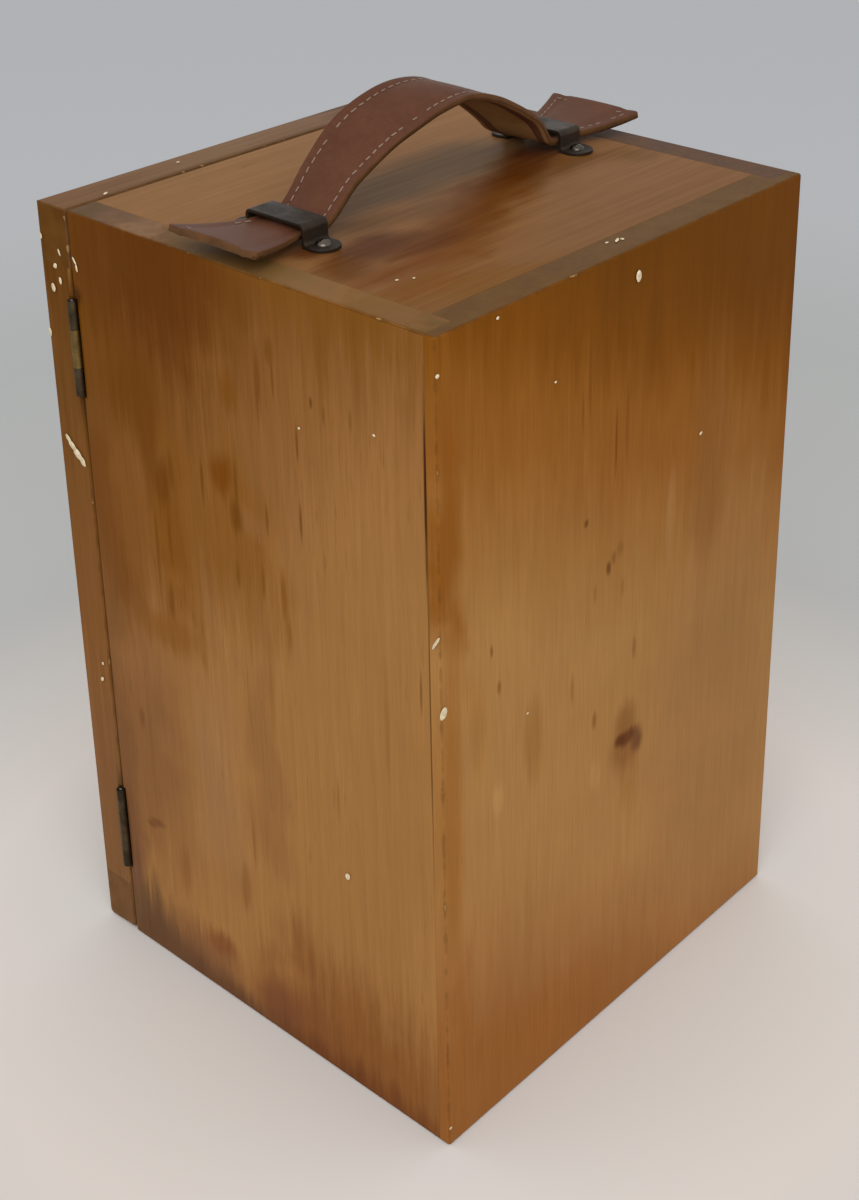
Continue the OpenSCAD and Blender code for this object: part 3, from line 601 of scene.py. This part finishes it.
METALS = [
    ("upper_hinge_case_leaf", "hinge_leaf_upper_case", "case", hinge_finish, "hinge_brass", 0.12),
    ("upper_hinge_door_leaf", "hinge_leaf_upper_door", "door", knuckle_finish, "hinge_brass", 0.12),
    ("lower_hinge_case_leaf", "hinge_leaf_lower_case", "case", hinge_finish, "hinge_brass", 0.12),
    ("lower_hinge_door_leaf", "hinge_leaf_lower_door", "door", hinge_finish, "hinge_brass", 0.12),
    ("upper_hinge_pin", "hinge_pin_upper", "case", pin_finish, "hinge_pin_steel", 0),
    ("lower_hinge_pin", "hinge_pin_lower", "case", pin_finish, "hinge_pin_steel", 0),
    ("hinge_screws_case", "leaf_screws_case", "case", screw_finish, "screw_brass", 0.08),
    ("hinge_screws_door", "leaf_screws_door", "door", screw_finish, "screw_brass", 0.08),
    ("handle_loop_hinge_side", "strap_loop_hinge_side", "case", loop_finish, "loop_metal", 0.3),
    ("handle_loop_latch_side", "strap_loop_latch_side", "case", loop_finish, "loop_metal", 0.3),
    ("handle_loop_screws", "strap_loop_screws", "case", loop_screw_finish, "loop_screw_steel", 0.1),
    ("upper_hook", "hook_upper", "upper_hook", hook_finish, "latch_brass", 0.2),
    ("lower_hook", "hook_lower", "lower_hook", hook_finish, "latch_brass", 0.2),
    ("hook_washers", "washers_under_hooks", "case", hook_finish, "latch_brass", 0.1),
    ("hook_pivot_screws", "pivot_screws", "case", screw_finish, "screw_brass", 0.1),
    ("hook_studs", "studs_on_door", "door", screw_finish, "screw_brass", 0.1),
    ("fitting_screws", "screws_in_fittings", "case", screw_finish, "screw_brass", 0.08),
    ("door_block_screws", "screws_in_block", "door", screw_finish, "screw_brass", 0.08),
    ("rack_screws", "screws_in_rack", "case", screw_finish, "screw_brass", 0.08),
]
for row in METALS:
    soft_metal(*row)

# %% [markdown]
# ## Leather
# The strap is bridle leather: brown, waxed, slightly darker in its pores, and unevenly rubbed. Its
# lining is undyed and tan. Where leather is cut, the edge is a rough brown line that is burnished.
# The thread is linen, cream once and now grey-brown.

# %% Leather materials
def leather(name, light, dark, rough, pore=0.9, bump_by=0.25, gloss=0.25):
    """Leather, or thread, between two colours. pore is the size of its pores in millimetres."""
    mat, place, _ = new_finish(name)
    cloud = mottle(mat, place, 14, 4, 0.6)
    pores = add(mat, "TexVoronoi", {"Vector": place, "Scale": 1 / pore})
    crease = mottle(mat, place, 2.2, 5, 0.7)
    mixed = mix(mat, cloud, colour(dark), colour(light))
    pitted = add(mat, "ValToRGB", {0: pores}, stops=[(0.0, 0.72), (0.35, 1.0)])
    toned = mix(mat, 0.6, mixed, pitted, "MULTIPLY")
    rubbed = add(mat, "ValToRGB", {0: crease}, stops=[(0.3, 0.8), (0.7, 1.0)])
    final = mix(mat, 0.7, toned, rubbed, "MULTIPLY")
    height = add(mat, "Math", {0: pores, 1: 0.5, 2: crease}, operation="MULTIPLY_ADD")
    bump = add(mat, "Bump", {"Height": height, "Strength": bump_by, "Distance": 0.0002})
    skin = add(mat, "BsdfPrincipled",
               {"Base Color": final, "Roughness": rough, "Normal": bump, "Specular IOR Level": gloss})
    return finish_off(mat, skin)


strap_finish = leather("waxed_bridle_leather", "#6a432f", "#523123", 0.46, gloss=0.08)
edge_finish = leather("burnished_leather_edge", "#7a5330", "#3a2415", 0.6, pore=0.5, bump_by=0.5, gloss=0.1)
lining_finish = leather("undyed_lining_leather", "#9c7446", "#775433", 0.7, gloss=0.15)
thread_finish = leather("waxed_linen_thread", "#9c8674", "#745e50", 0.8, pore=0.4, gloss=0.1)

# %% [markdown]
# ## The strap
# The strap is flat leather before it is bent, so it is modelled flat: a grid for the part under
# the hand, whose end edges are extruded and widened for the flared tabs. The middle is raised and
# a groove is pressed beside each edge for the stitches. Solidify gives it its thickness, and a
# bevel its worn edges. A Curve modifier then lays it along a line that rises out of one loop and
# comes down into the other. The line's tilt gives the strap the twist that years of carrying put
# in it: at the crown its far edge stands higher than its near one.

# %% Path of the strap
# Height of the strap's middle line above the top, tilt in degrees and sideways place, along x
ARCH = [(-66, 0, 0, 0), (-59, 2.8, -2, 0.1), (-48, 12.1, -13, 1.5), (-32, 23.0, -9, 0.8), (-16, 30.7, 3, 0.1),
        (0, 31.9, 15, -0.4), (16, 29.4, 23, -0.4), (32, 24.0, 21, -0.4), (48, 14.0, 6, 0.1), (66, 0, 0, 0)]
# Height of the case's top, and of the flat strap's middle over it
TOP, MID = 340, 3.5
# Where the tabs begin and end, and how far their tips curl up
TAB_START, TAB_END, TAB_LIFT = 78.6, 108.5, 3.8
# The path has a point at each millimetre of x, as far as this on both sides
PATH_END = 109


def through(table, x, column):
    """A smooth curve through a column of the table (Catmull and Rom's rule), level at both ends."""
    last = len(table) - 2
    i = next((k for k in range(last) if x <= table[k + 1][0]), last)
    a, b = table[i], table[i + 1]
    slope = []
    for k in (i, i + 1):
        if k in (0, len(table) - 1):
            slope.append(0.0)
        else:
            slope.append((table[k + 1][column] - table[k - 1][column]) / (table[k + 1][0] - table[k - 1][0]))
    h = b[0] - a[0]
    t = (x - a[0]) / h
    return ((2 * t**3 - 3 * t**2 + 1) * a[column] + (t**3 - 2 * t**2 + t) * h * slope[0]
            + (3 * t**2 - 2 * t**3) * b[column] + (t**3 - t**2) * h * slope[1])


path = []
for step in range(-PATH_END, PATH_END + 1):
    x = step * 1.0
    if abs(x) <= 66:
        z, tilt, y = (through(ARCH, x, c) for c in (1, 2, 3))
    else:
        rise = max(0.0, (abs(x) - TAB_START) / (TAB_END - TAB_START))
        z, tilt, y = TAB_LIFT * rise * rise, 0.0, 0.0
    path.append((Vector((x, y, TOP + MID + z)) * MM, math.radians(tilt)))
lengths = [0.0]
for (a, _), (b, _) in zip(path, path[1:]):
    lengths.append(lengths[-1] + (b - a).length)


def along(x):
    """Length along the path, in metres, of the place x in millimetres."""
    where = x + PATH_END
    i = max(0, min(len(path) - 2, int(where)))
    return lengths[i] + (lengths[i + 1] - lengths[i]) * (where - i)


line = bpy.data.curves.new("strap_path", "CURVE")
line.dimensions = "3D"
line.twist_mode = "Z_UP"
spline = line.splines.new("POLY")
spline.points.add(len(path) - 1)
for point, (where, tilt) in zip(spline.points, path):
    point.co = (*where, 1)
    point.tilt = -tilt
strap_path = new_object("strap_path", line)
print("strap is", round(lengths[-1] / MM, 1), "mm long")

# %% Flat strap
STRAP_W, TAB_W = 26, 46


def half_width(x):
    """Half of the strap's width at x, in millimetres."""
    rise = max(0.0, (abs(x) - TAB_START) / (TAB_END - TAB_START))
    return STRAP_W / 2 + (TAB_W - STRAP_W) / 2 * rise


def half_at(length):
    """Half of the strap's width at a length along it, in millimetres."""
    i = max(0, min(len(lengths) - 2, bisect.bisect_right(lengths, length) - 1))
    share = (length - lengths[i]) / (lengths[i + 1] - lengths[i])
    return half_width(i + share - PATH_END)


def flat_strap(name, low, high, crown, finish, rim):
    """The strap or its lining, flat, with its length along X from 0. low and high are the heights
    of its faces from the strap's middle, and crown is how far its middle bulges."""
    start_clean()
    a, b = along(-TAB_START), along(TAB_START)
    bpy.ops.mesh.primitive_grid_add(x_subdivisions=220, y_subdivisions=14, size=1, location=(0, 0, 0))
    piece = bpy.context.object
    piece.name = name
    mode("EDIT")
    bpy.ops.mesh.select_all(action="SELECT")
    bpy.ops.transform.resize(value=(b - a, STRAP_W * MM, 1))
    bpy.ops.transform.translate(value=((a + b) / 2, 0, 0))
    # The tabs: each end edge is drawn out in steps, wider at each
    for end in (-1, 1):
        limit = b if end > 0 else a
        pick("VERT", lambda v: abs(v.co.x - limit) < 1e-6)
        width = STRAP_W
        steps = 14
        for step in range(1, steps + 1):
            x = TAB_START + (TAB_END - TAB_START) * step / steps
            move = along(end * x) - along(end * (x - (TAB_END - TAB_START) / steps))
            wider = 2 * half_width(x)
            bpy.ops.mesh.extrude_region_move(TRANSFORM_OT_translate={"value": (move, 0, 0)})
            bpy.ops.transform.resize(value=(1, wider / width, 1))
            width = wider
    # The crowned middle and the stitching grooves, row by row
    if crown:
        rows = 14
        for row in range(rows + 1):
            share = abs(row / rows * 2 - 1)
            lift = crown * max(0.0, 1 - (share / 0.72) ** 2) - (0.35 if 0.7 < share < 0.8 else 0.0)
            pick("VERT", lambda v: abs(v.co.y / (half_at(v.co.x) * MM) - (row / rows * 2 - 1)) < 0.5 / rows)
            bpy.ops.transform.translate(value=(0, 0, lift * MM))
    # Rounded corners on the tabs
    pick("VERT", lambda v: abs(abs(v.co.y) - TAB_W / 2 * MM) < 1e-6)
    bpy.ops.mesh.bevel(offset=1.6 * MM, segments=3, affect="VERTICES")
    bpy.ops.mesh.select_all(action="SELECT")
    bpy.ops.transform.translate(value=(0, 0, high * MM))
    bpy.ops.mesh.normals_make_consistent(inside=False)
    mode("OBJECT")
    solid = piece.modifiers.new("thickness", "SOLIDIFY")
    solid.thickness = (high - low) * MM
    solid.offset = -1
    solid.use_even_offset = False
    bpy.ops.object.modifier_apply(modifier="thickness")
    mode("EDIT")
    pick("EDGE", lambda e: len(e.link_faces) == 2 and e.calc_face_angle() > math.radians(60))
    bpy.ops.mesh.bevel(offset=0.35 * MM, segments=2, clamp_overlap=True)
    # The cut edge of the leather has its own finish
    pick("FACE", lambda f: abs(f.normal.z) < 0.75)
    mode("OBJECT")
    piece.data.materials.append(finish)
    piece.data.materials.append(rim)
    for face in piece.data.polygons:
        face.material_index = 1 if face.select else 0
    return piece


outer_strip = flat_strap("strap_outer", -0.5, 2.2, 0.5, strap_finish, edge_finish)
lining_strip = flat_strap("strap_lining", -2.3, -0.5, 0.0, lining_finish, edge_finish)
print("flat strap:", [round(v / MM, 1) for v in outer_strip.dimensions])

# %% [markdown]
# ## The stitches
# Waxed linen thread shows as short beads, one every 4 mm along a line inside the strap's edge and
# round both tabs. One bead is modelled from a cylinder with six sides, with its ends drawn in, and
# copied. Each copy differs a little in length and turn. A few are worn away on the arch, and most on
# the tab of the hinge side. They are laid on the flat strap, and bend with it.

# %% Stitches
# From one stitch to the next, and the stretch that a loop hides, in millimetres
PITCH, UNDER_LOOP = 4.0, (65, 79)
# The share that is worn away, on most of the strap and on the hinge side's tab
WORN, WORN_ON_TAB = 0.06, 0.6


def one_stitch():
    """A stitch 2.3 mm long and 0.7 mm wide, lying along X at the origin."""
    start_clean()
    bpy.ops.mesh.primitive_cylinder_add(vertices=6, radius=0.34 * MM, depth=2.3 * MM, end_fill_type="NGON",
                                        rotation=(0, math.radians(90), 0))
    bpy.ops.object.transform_apply(location=True, rotation=True, scale=True)
    bead = bpy.context.object
    mode("EDIT")
    pick("FACE", lambda f: abs(f.normal.x) > 0.9)
    bpy.ops.mesh.inset(thickness=0.16 * MM)
    bpy.ops.transform.resize(value=(1.18, 1, 1))
    bpy.ops.mesh.select_all(action="SELECT")
    bpy.ops.transform.resize(value=(1, 1, 0.75))
    mode("OBJECT")
    return bead


def stitch_line():
    """Places of the stitches on the flat strap: length, width across, and turn."""
    inset, end = 3.6, TAB_END - 3.4
    corner = half_width(end) - inset
    xs = [-end + k * (2 * end) / 240 for k in range(241)]
    outline = [(along(x) / MM, half_width(x) - inset) for x in xs]
    outline += [(along(end) / MM, corner - k * 2 * corner / 30) for k in range(1, 31)]
    outline += [(along(x) / MM, -(half_width(x) - inset)) for x in reversed(xs)][1:]
    outline += [(along(-end) / MM, -corner + k * 2 * corner / 30) for k in range(1, 31)]
    places, carried = [], PITCH / 2
    for (ax, ay), (bx, by) in zip(outline, outline[1:]):
        run = math.hypot(bx - ax, by - ay)
        while carried <= run:
            share = carried / run
            places.append((ax + (bx - ax) * share, ay + (by - ay) * share, math.atan2(by - ay, bx - ax)))
            carried += PITCH
        carried -= run
    return places


bead = one_stitch()
dice = random.Random(7)
copies = []
for where, across, turn in stitch_line():
    x = bisect.bisect_right([v / MM for v in lengths], where) - PATH_END
    if UNDER_LOOP[0] < abs(x) < UNDER_LOOP[1]:
        continue
    if dice.random() < (WORN if x < UNDER_LOOP[1] else WORN_ON_TAB):
        continue
    size = dice.uniform(0.82, 1.05)
    bob = new_object("stitch", bead.data.copy())
    bob.location = (where * MM, across * MM, 2.1 * MM)
    bob.rotation_euler = (0, 0, turn + math.radians(dice.uniform(-7, 7)))
    bob.scale = (size, 1, 1)
    copies.append(bob)
bpy.data.objects.remove(bead)
thread = join_all(copies, "strap_thread")
print(len(copies), "stitches,", len(thread.data.polygons), "faces")

# %% Bending the strap, and halving it
def lay_on_path(piece):
    """Bends the flat piece along the strap's path."""
    work_on(piece)
    bend = piece.modifiers.new("path", "CURVE")
    bend.object = strap_path
    bend.deform_axis = "POS_X"
    bpy.ops.object.modifier_apply(modifier="path")


def halves(piece, cut=0.0):
    """Cuts a bent piece across the middle of the case into a hinge-side and a latch-side half."""
    made = {}
    for side, name in ((1, "hinge_side"), (-1, "latch_side")):
        half = new_object(f"{piece.name}_{name}", piece.data.copy())
        work_on(half)
        mode("EDIT")
        bpy.ops.mesh.select_all(action="SELECT")
        bpy.ops.mesh.bisect(plane_co=(cut, 0, 0), plane_no=(side, 0, 0), clear_inner=True, use_fill=True)
        mode("OBJECT")
        made[name] = half
    bpy.data.objects.remove(piece)
    return made


def bend_with_grip(half, name, finish, stands_for):
    """Shades a bent half smoothly, gives it a finish if one is given, bakes its place into its mesh and hides
    the imported parts that it stands for.
    """
    work_on(half)
    bpy.ops.object.shade_smooth_by_angle(angle=math.radians(50))
    if finish:
        half.data.materials.clear()
        half.data.materials.append(finish)
    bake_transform(half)
    if stands_for:
        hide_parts(*[n.format(name) for n in stands_for])
    print(half.name, "with", len(half.data.polygons), "faces")


for piece in (outer_strip, lining_strip, thread):
    lay_on_path(piece)
for name, half in halves(outer_strip).items():
    bend_with_grip(half, name, None, ["strap_arch_outer", "strap_end_outer_{}"])
for name, half in halves(lining_strip).items():
    bend_with_grip(half, name, None, ["strap_arch_lining", "strap_end_lining_{}"])
for name, half in halves(thread).items():
    bend_with_grip(half, name, thread_finish, [])
bpy.data.objects.remove(strap_path)

# %% [markdown]
# ## Spots of paint
# The case stood by while somebody was painting: small drops and two smears of cream paint have
# dried on it. A drop is a shallow dome with a thin rim. One dome is modelled from a sphere that
# is cut in half and flattened, and copied with its own length, width and turn for each spot.

# %% Paint
paint_mat, paint_place, _ = new_finish("dried_cream_paint")
paint_cloud = mottle(paint_mat, paint_place, 1.5, 4)
paint_tone = add(paint_mat, "ValToRGB", {0: paint_cloud}, stops=[(0.35, "#c9b48c"), (0.65, "#ead9b8")])
paint_bump = add(paint_mat, "Bump", {"Height": paint_cloud, "Strength": 0.3, "Distance": 0.0002})
paint_finish = finish_off(paint_mat, add(
    paint_mat, "BsdfPrincipled", {"Base Color": paint_tone, "Roughness": 0.55, "Normal": paint_bump}))

# Face it lies on, place on that face in mm, length, width, turn in degrees
CASE_SPOTS = [
    ("+X", -81.6, 320.4, 3.6, 1.1, 125), ("+X", -80.6, 317.6, 3.4, 1.1, 100),
    ("+X", 53.7, 103.0, 3.2, 2.4, 80), ("+X", 75.4, 296.8, 1.4, 1.0, 0),
    ("+X", 38.9, 287.9, 1.3, 1.0, 30), ("+X", 101.8, 226.6, 7, 1.2, 60),
    ("+Y", 106.0, 198.8, 5.0, 3.6, 70), ("+Y", 106.0, 326.4, 1.9, 1.6, 0),
    ("+Y", -0.4, 328.7, 4.6, 3.0, 95),
    ("+Y", -43.6, 250.5, 2.0, 1.3, 20), ("+Y", 76.4, 337.1, 1.5, 1.2, 0), ("+Y", 46.0, 303.5, 1.2, 0.9, 0),
    ("+Y", 60.6, 175.4, 1.2, 0.9, 0), ("+Y", 106.0, 9.3, 1.6, 1.2, 0),
    ("+Z", 0.3, 94.4, 4.2, 1.2, 25), ("+Z", 4.6, 93.2, 1.8, 0.9, 5), ("+Z", -1.8, 95.2, 1.6, 1.4, 60),
    ("+Z", 78.9, 61.0, 1.4, 1.1, 0),
    ("+Z", 73.8, 64.2, 1.1, 0.9, 0),
]
DOOR_SPOTS = [
    ("+X", -101.4, 326.0, 2.6, 1.5, 100), ("+X", -90.6, 321.6, 2.8, 1.1, 115),
    ("+X", -93.9, 315.4, 2.5, 2.1, 40),
    ("+X", -91.6, 309.8, 3.0, 1.5, 100), ("+X", -96.4, 305.9, 3.4, 2.6, 95),
    ("+X", -101.6, 285.8, 3.6, 1.9, 95),
    ("+X", -96.9, 240.6, 4.4, 2.2, 138), ("+X", -94.6, 238.2, 5.6, 3.0, 140),
    ("+X", -91.6, 235.4, 6.0, 3.6, 142),
    ("+X", -88.8, 233.0, 4.6, 3.0, 118), ("+X", -90.6, 129.7, 2.6, 1.7, 60),
    ("+X", -89.2, 138.0, 1.8, 1.3, 60),
    ("+Z", 41.7, -95.5, 1.6, 1.2, 0), ("+Z", 85.0, -87.4, 3.0, 1.3, 30),
]
# Place of each face in millimetres, and the direction along it from which a turn is counted
FACES = {"+X": (106.5, (0, 1, 0)), "+Y": (103.5, (-1, 0, 0)), "+Z": (340.0, (1, 0, 0))}


def one_drop():
    """A dome 1 mm across and 0.12 mm high, facing up."""
    start_clean()
    bpy.ops.mesh.primitive_uv_sphere_add(segments=14, ring_count=8, radius=0.5 * MM)
    drop = bpy.context.object
    mode("EDIT")
    bpy.ops.mesh.select_all(action="SELECT")
    bpy.ops.mesh.bisect(plane_co=(0, 0, 0), plane_no=(0, 0, 1), clear_inner=True, use_fill=True)
    bpy.ops.mesh.select_all(action="SELECT")
    bpy.ops.transform.resize(value=(1, 1, 0.24))
    mode("OBJECT")
    return drop


def spots(name, rows, body):
    """All the spots on one body as one piece."""
    drop = one_drop()
    rolled = random.Random(len(rows))
    parts = []
    for face, u, v, length, width, turn in rows:
        bob = new_object("drop", drop.data.copy())
        # An uneven rim: each column of points is pushed in or out a little
        for vert in bob.data.vertices:
            angle = math.atan2(vert.co.y, vert.co.x)
            rim = Vector((math.cos(angle), math.sin(angle), rolled.random() * 0.01 + u))
            push = 1 + 0.16 * noise.noise(rim)
            vert.co.x *= push
            vert.co.y *= push
        # Its own axes: along the drop, across it, and out of the face
        depth, side = FACES[face]
        out, side = Vector([letter == face[1] for letter in "XYZ"]), Vector(side)
        up = out.cross(side)
        turned = math.radians(turn)
        axes = (side * math.cos(turned) + up * math.sin(turned),
                up * math.cos(turned) - side * math.sin(turned), out)
        sizes = (length, width, 1.5 + 0.4 * width)
        matrix = Matrix([axis * size for axis, size in zip(axes, sizes)]).transposed().to_4x4()
        matrix.translation = (out * depth + Vector([abs(c) for c in side]) * u + up * v) * MM
        bob.matrix_world = matrix
        parts.append(bob)
    bpy.data.objects.remove(drop)
    piece = join_all(parts, name)
    mode("EDIT")
    bpy.ops.mesh.select_all(action="SELECT")
    bpy.ops.mesh.normals_make_consistent(inside=False)
    mode("OBJECT")
    return settle(piece, body, paint_finish)


spots("paint_spots_case", CASE_SPOTS, "case")
spots("paint_spots_door", DOOR_SPOTS, "door")

# %% [markdown]
# ## The felt pad
# A strip of green felt on the door's block presses on the foot of the microscope when the door
# shuts. Felt has no weave: it is matted wool, soft at its edges. The strip is a plate that is
# subdivided, rounded over and given a slightly uneven face.

# %% Felt pad
felt_mat, felt_place, _ = new_finish("matted_green_felt")
hairs = mottle(felt_mat, felt_place, 0.7, 6, 0.75)
felt_tone = add(felt_mat, "ValToRGB", {0: hairs}, stops=[(0.3, "#2c3f2c"), (0.7, "#4a6147")])
felt_bump = add(felt_mat, "Bump", {"Height": hairs, "Strength": 0.6, "Distance": 0.0004})
felt_finish = finish_off(felt_mat, add(
    felt_mat, "BsdfPrincipled",
    {"Base Color": felt_tone, "Roughness": 0.95, "Normal": felt_bump, "Sheen Weight": 0.4}))

pad_low, pad_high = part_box("door_block_pad")
start_clean()
bpy.ops.mesh.primitive_cube_add(size=1, location=(pad_low + pad_high) / 2)
pad = bpy.context.object
pad.name = "felt_pad"
pad.dimensions = pad_high - pad_low
bpy.ops.object.transform_apply(location=True, rotation=True, scale=True)
mode("EDIT")
bpy.ops.mesh.select_all(action="SELECT")
bpy.ops.mesh.bevel(offset=0.5 * MM, segments=3)
pick("FACE", lambda f: f.normal.y > 0.9)
bpy.ops.mesh.inset(thickness=1.2 * MM)
bpy.ops.mesh.subdivide(number_cuts=6)
mode("OBJECT")
for vert in pad.data.vertices:
    lump = noise.noise(vert.co * 160) * 0.00012
    if vert.co.y > pad_high.y - 0.0001:
        vert.co.y += lump - 0.00012
settle(pad, "door", felt_finish, ("door_block_pad",))

# %% [markdown]
# ## The stage
# A pale floor takes the case's shadow. It runs far out, and it is a little greyer away from the
# case. Soft light comes from all round. One large lamp, above and behind the camera, lights the near
# sides a little more.

# %% Floor and light
start_clean()
bpy.ops.mesh.primitive_circle_add(vertices=96, radius=6, fill_type="NGON", location=(0, 0, -0.0002))
floor = bpy.context.object
floor.name = "floor"
floor_mat, floor_place, _ = new_finish("pale_backdrop_paper")
from_case = add(floor_mat, "VectorMath", {0: floor_place}, operation="LENGTH")
out_share = spread(floor_mat, from_case.outputs["Value"], 160, 1000)
floor_tone = add(floor_mat, "ValToRGB", {0: out_share},
                 stops=[(0.0, "#ddd8d3"), (0.06, "#e0d9d3"), (0.22, "#c0c0be"), (0.6, "#b9bbba"),
                        (1.0, "#c2c4c7")])
floor.data.materials.append(finish_off(floor_mat, add(
    floor_mat, "BsdfPrincipled", {"Base Color": floor_tone, "Roughness": 0.9, "Specular IOR Level": 0.1})))

world = bpy.data.worlds.new("room")
bpy.context.scene.world = world
world.use_nodes = True
world.node_tree.nodes["Background"].inputs["Color"].default_value = colour("#ffffff")
world.node_tree.nodes["Background"].inputs["Strength"].default_value = 0.75


def lamp(name, place, target, size, power):
    """A square area lamp that points at a target."""
    data = bpy.data.lights.new(name, "AREA")
    data.size = size
    data.energy = power
    made = new_object(name, data)
    made.location = place
    made.rotation_euler = (Vector(target) - Vector(place)).to_track_quat("-Z", "Y").to_euler()
    print("lamp", name, power, "W")


lamp("window", (1.0, 0.9, 1.2), (0, 0, 0.2), 1.4, 14)

scene = bpy.context.scene
scene.view_settings.view_transform = "Standard"
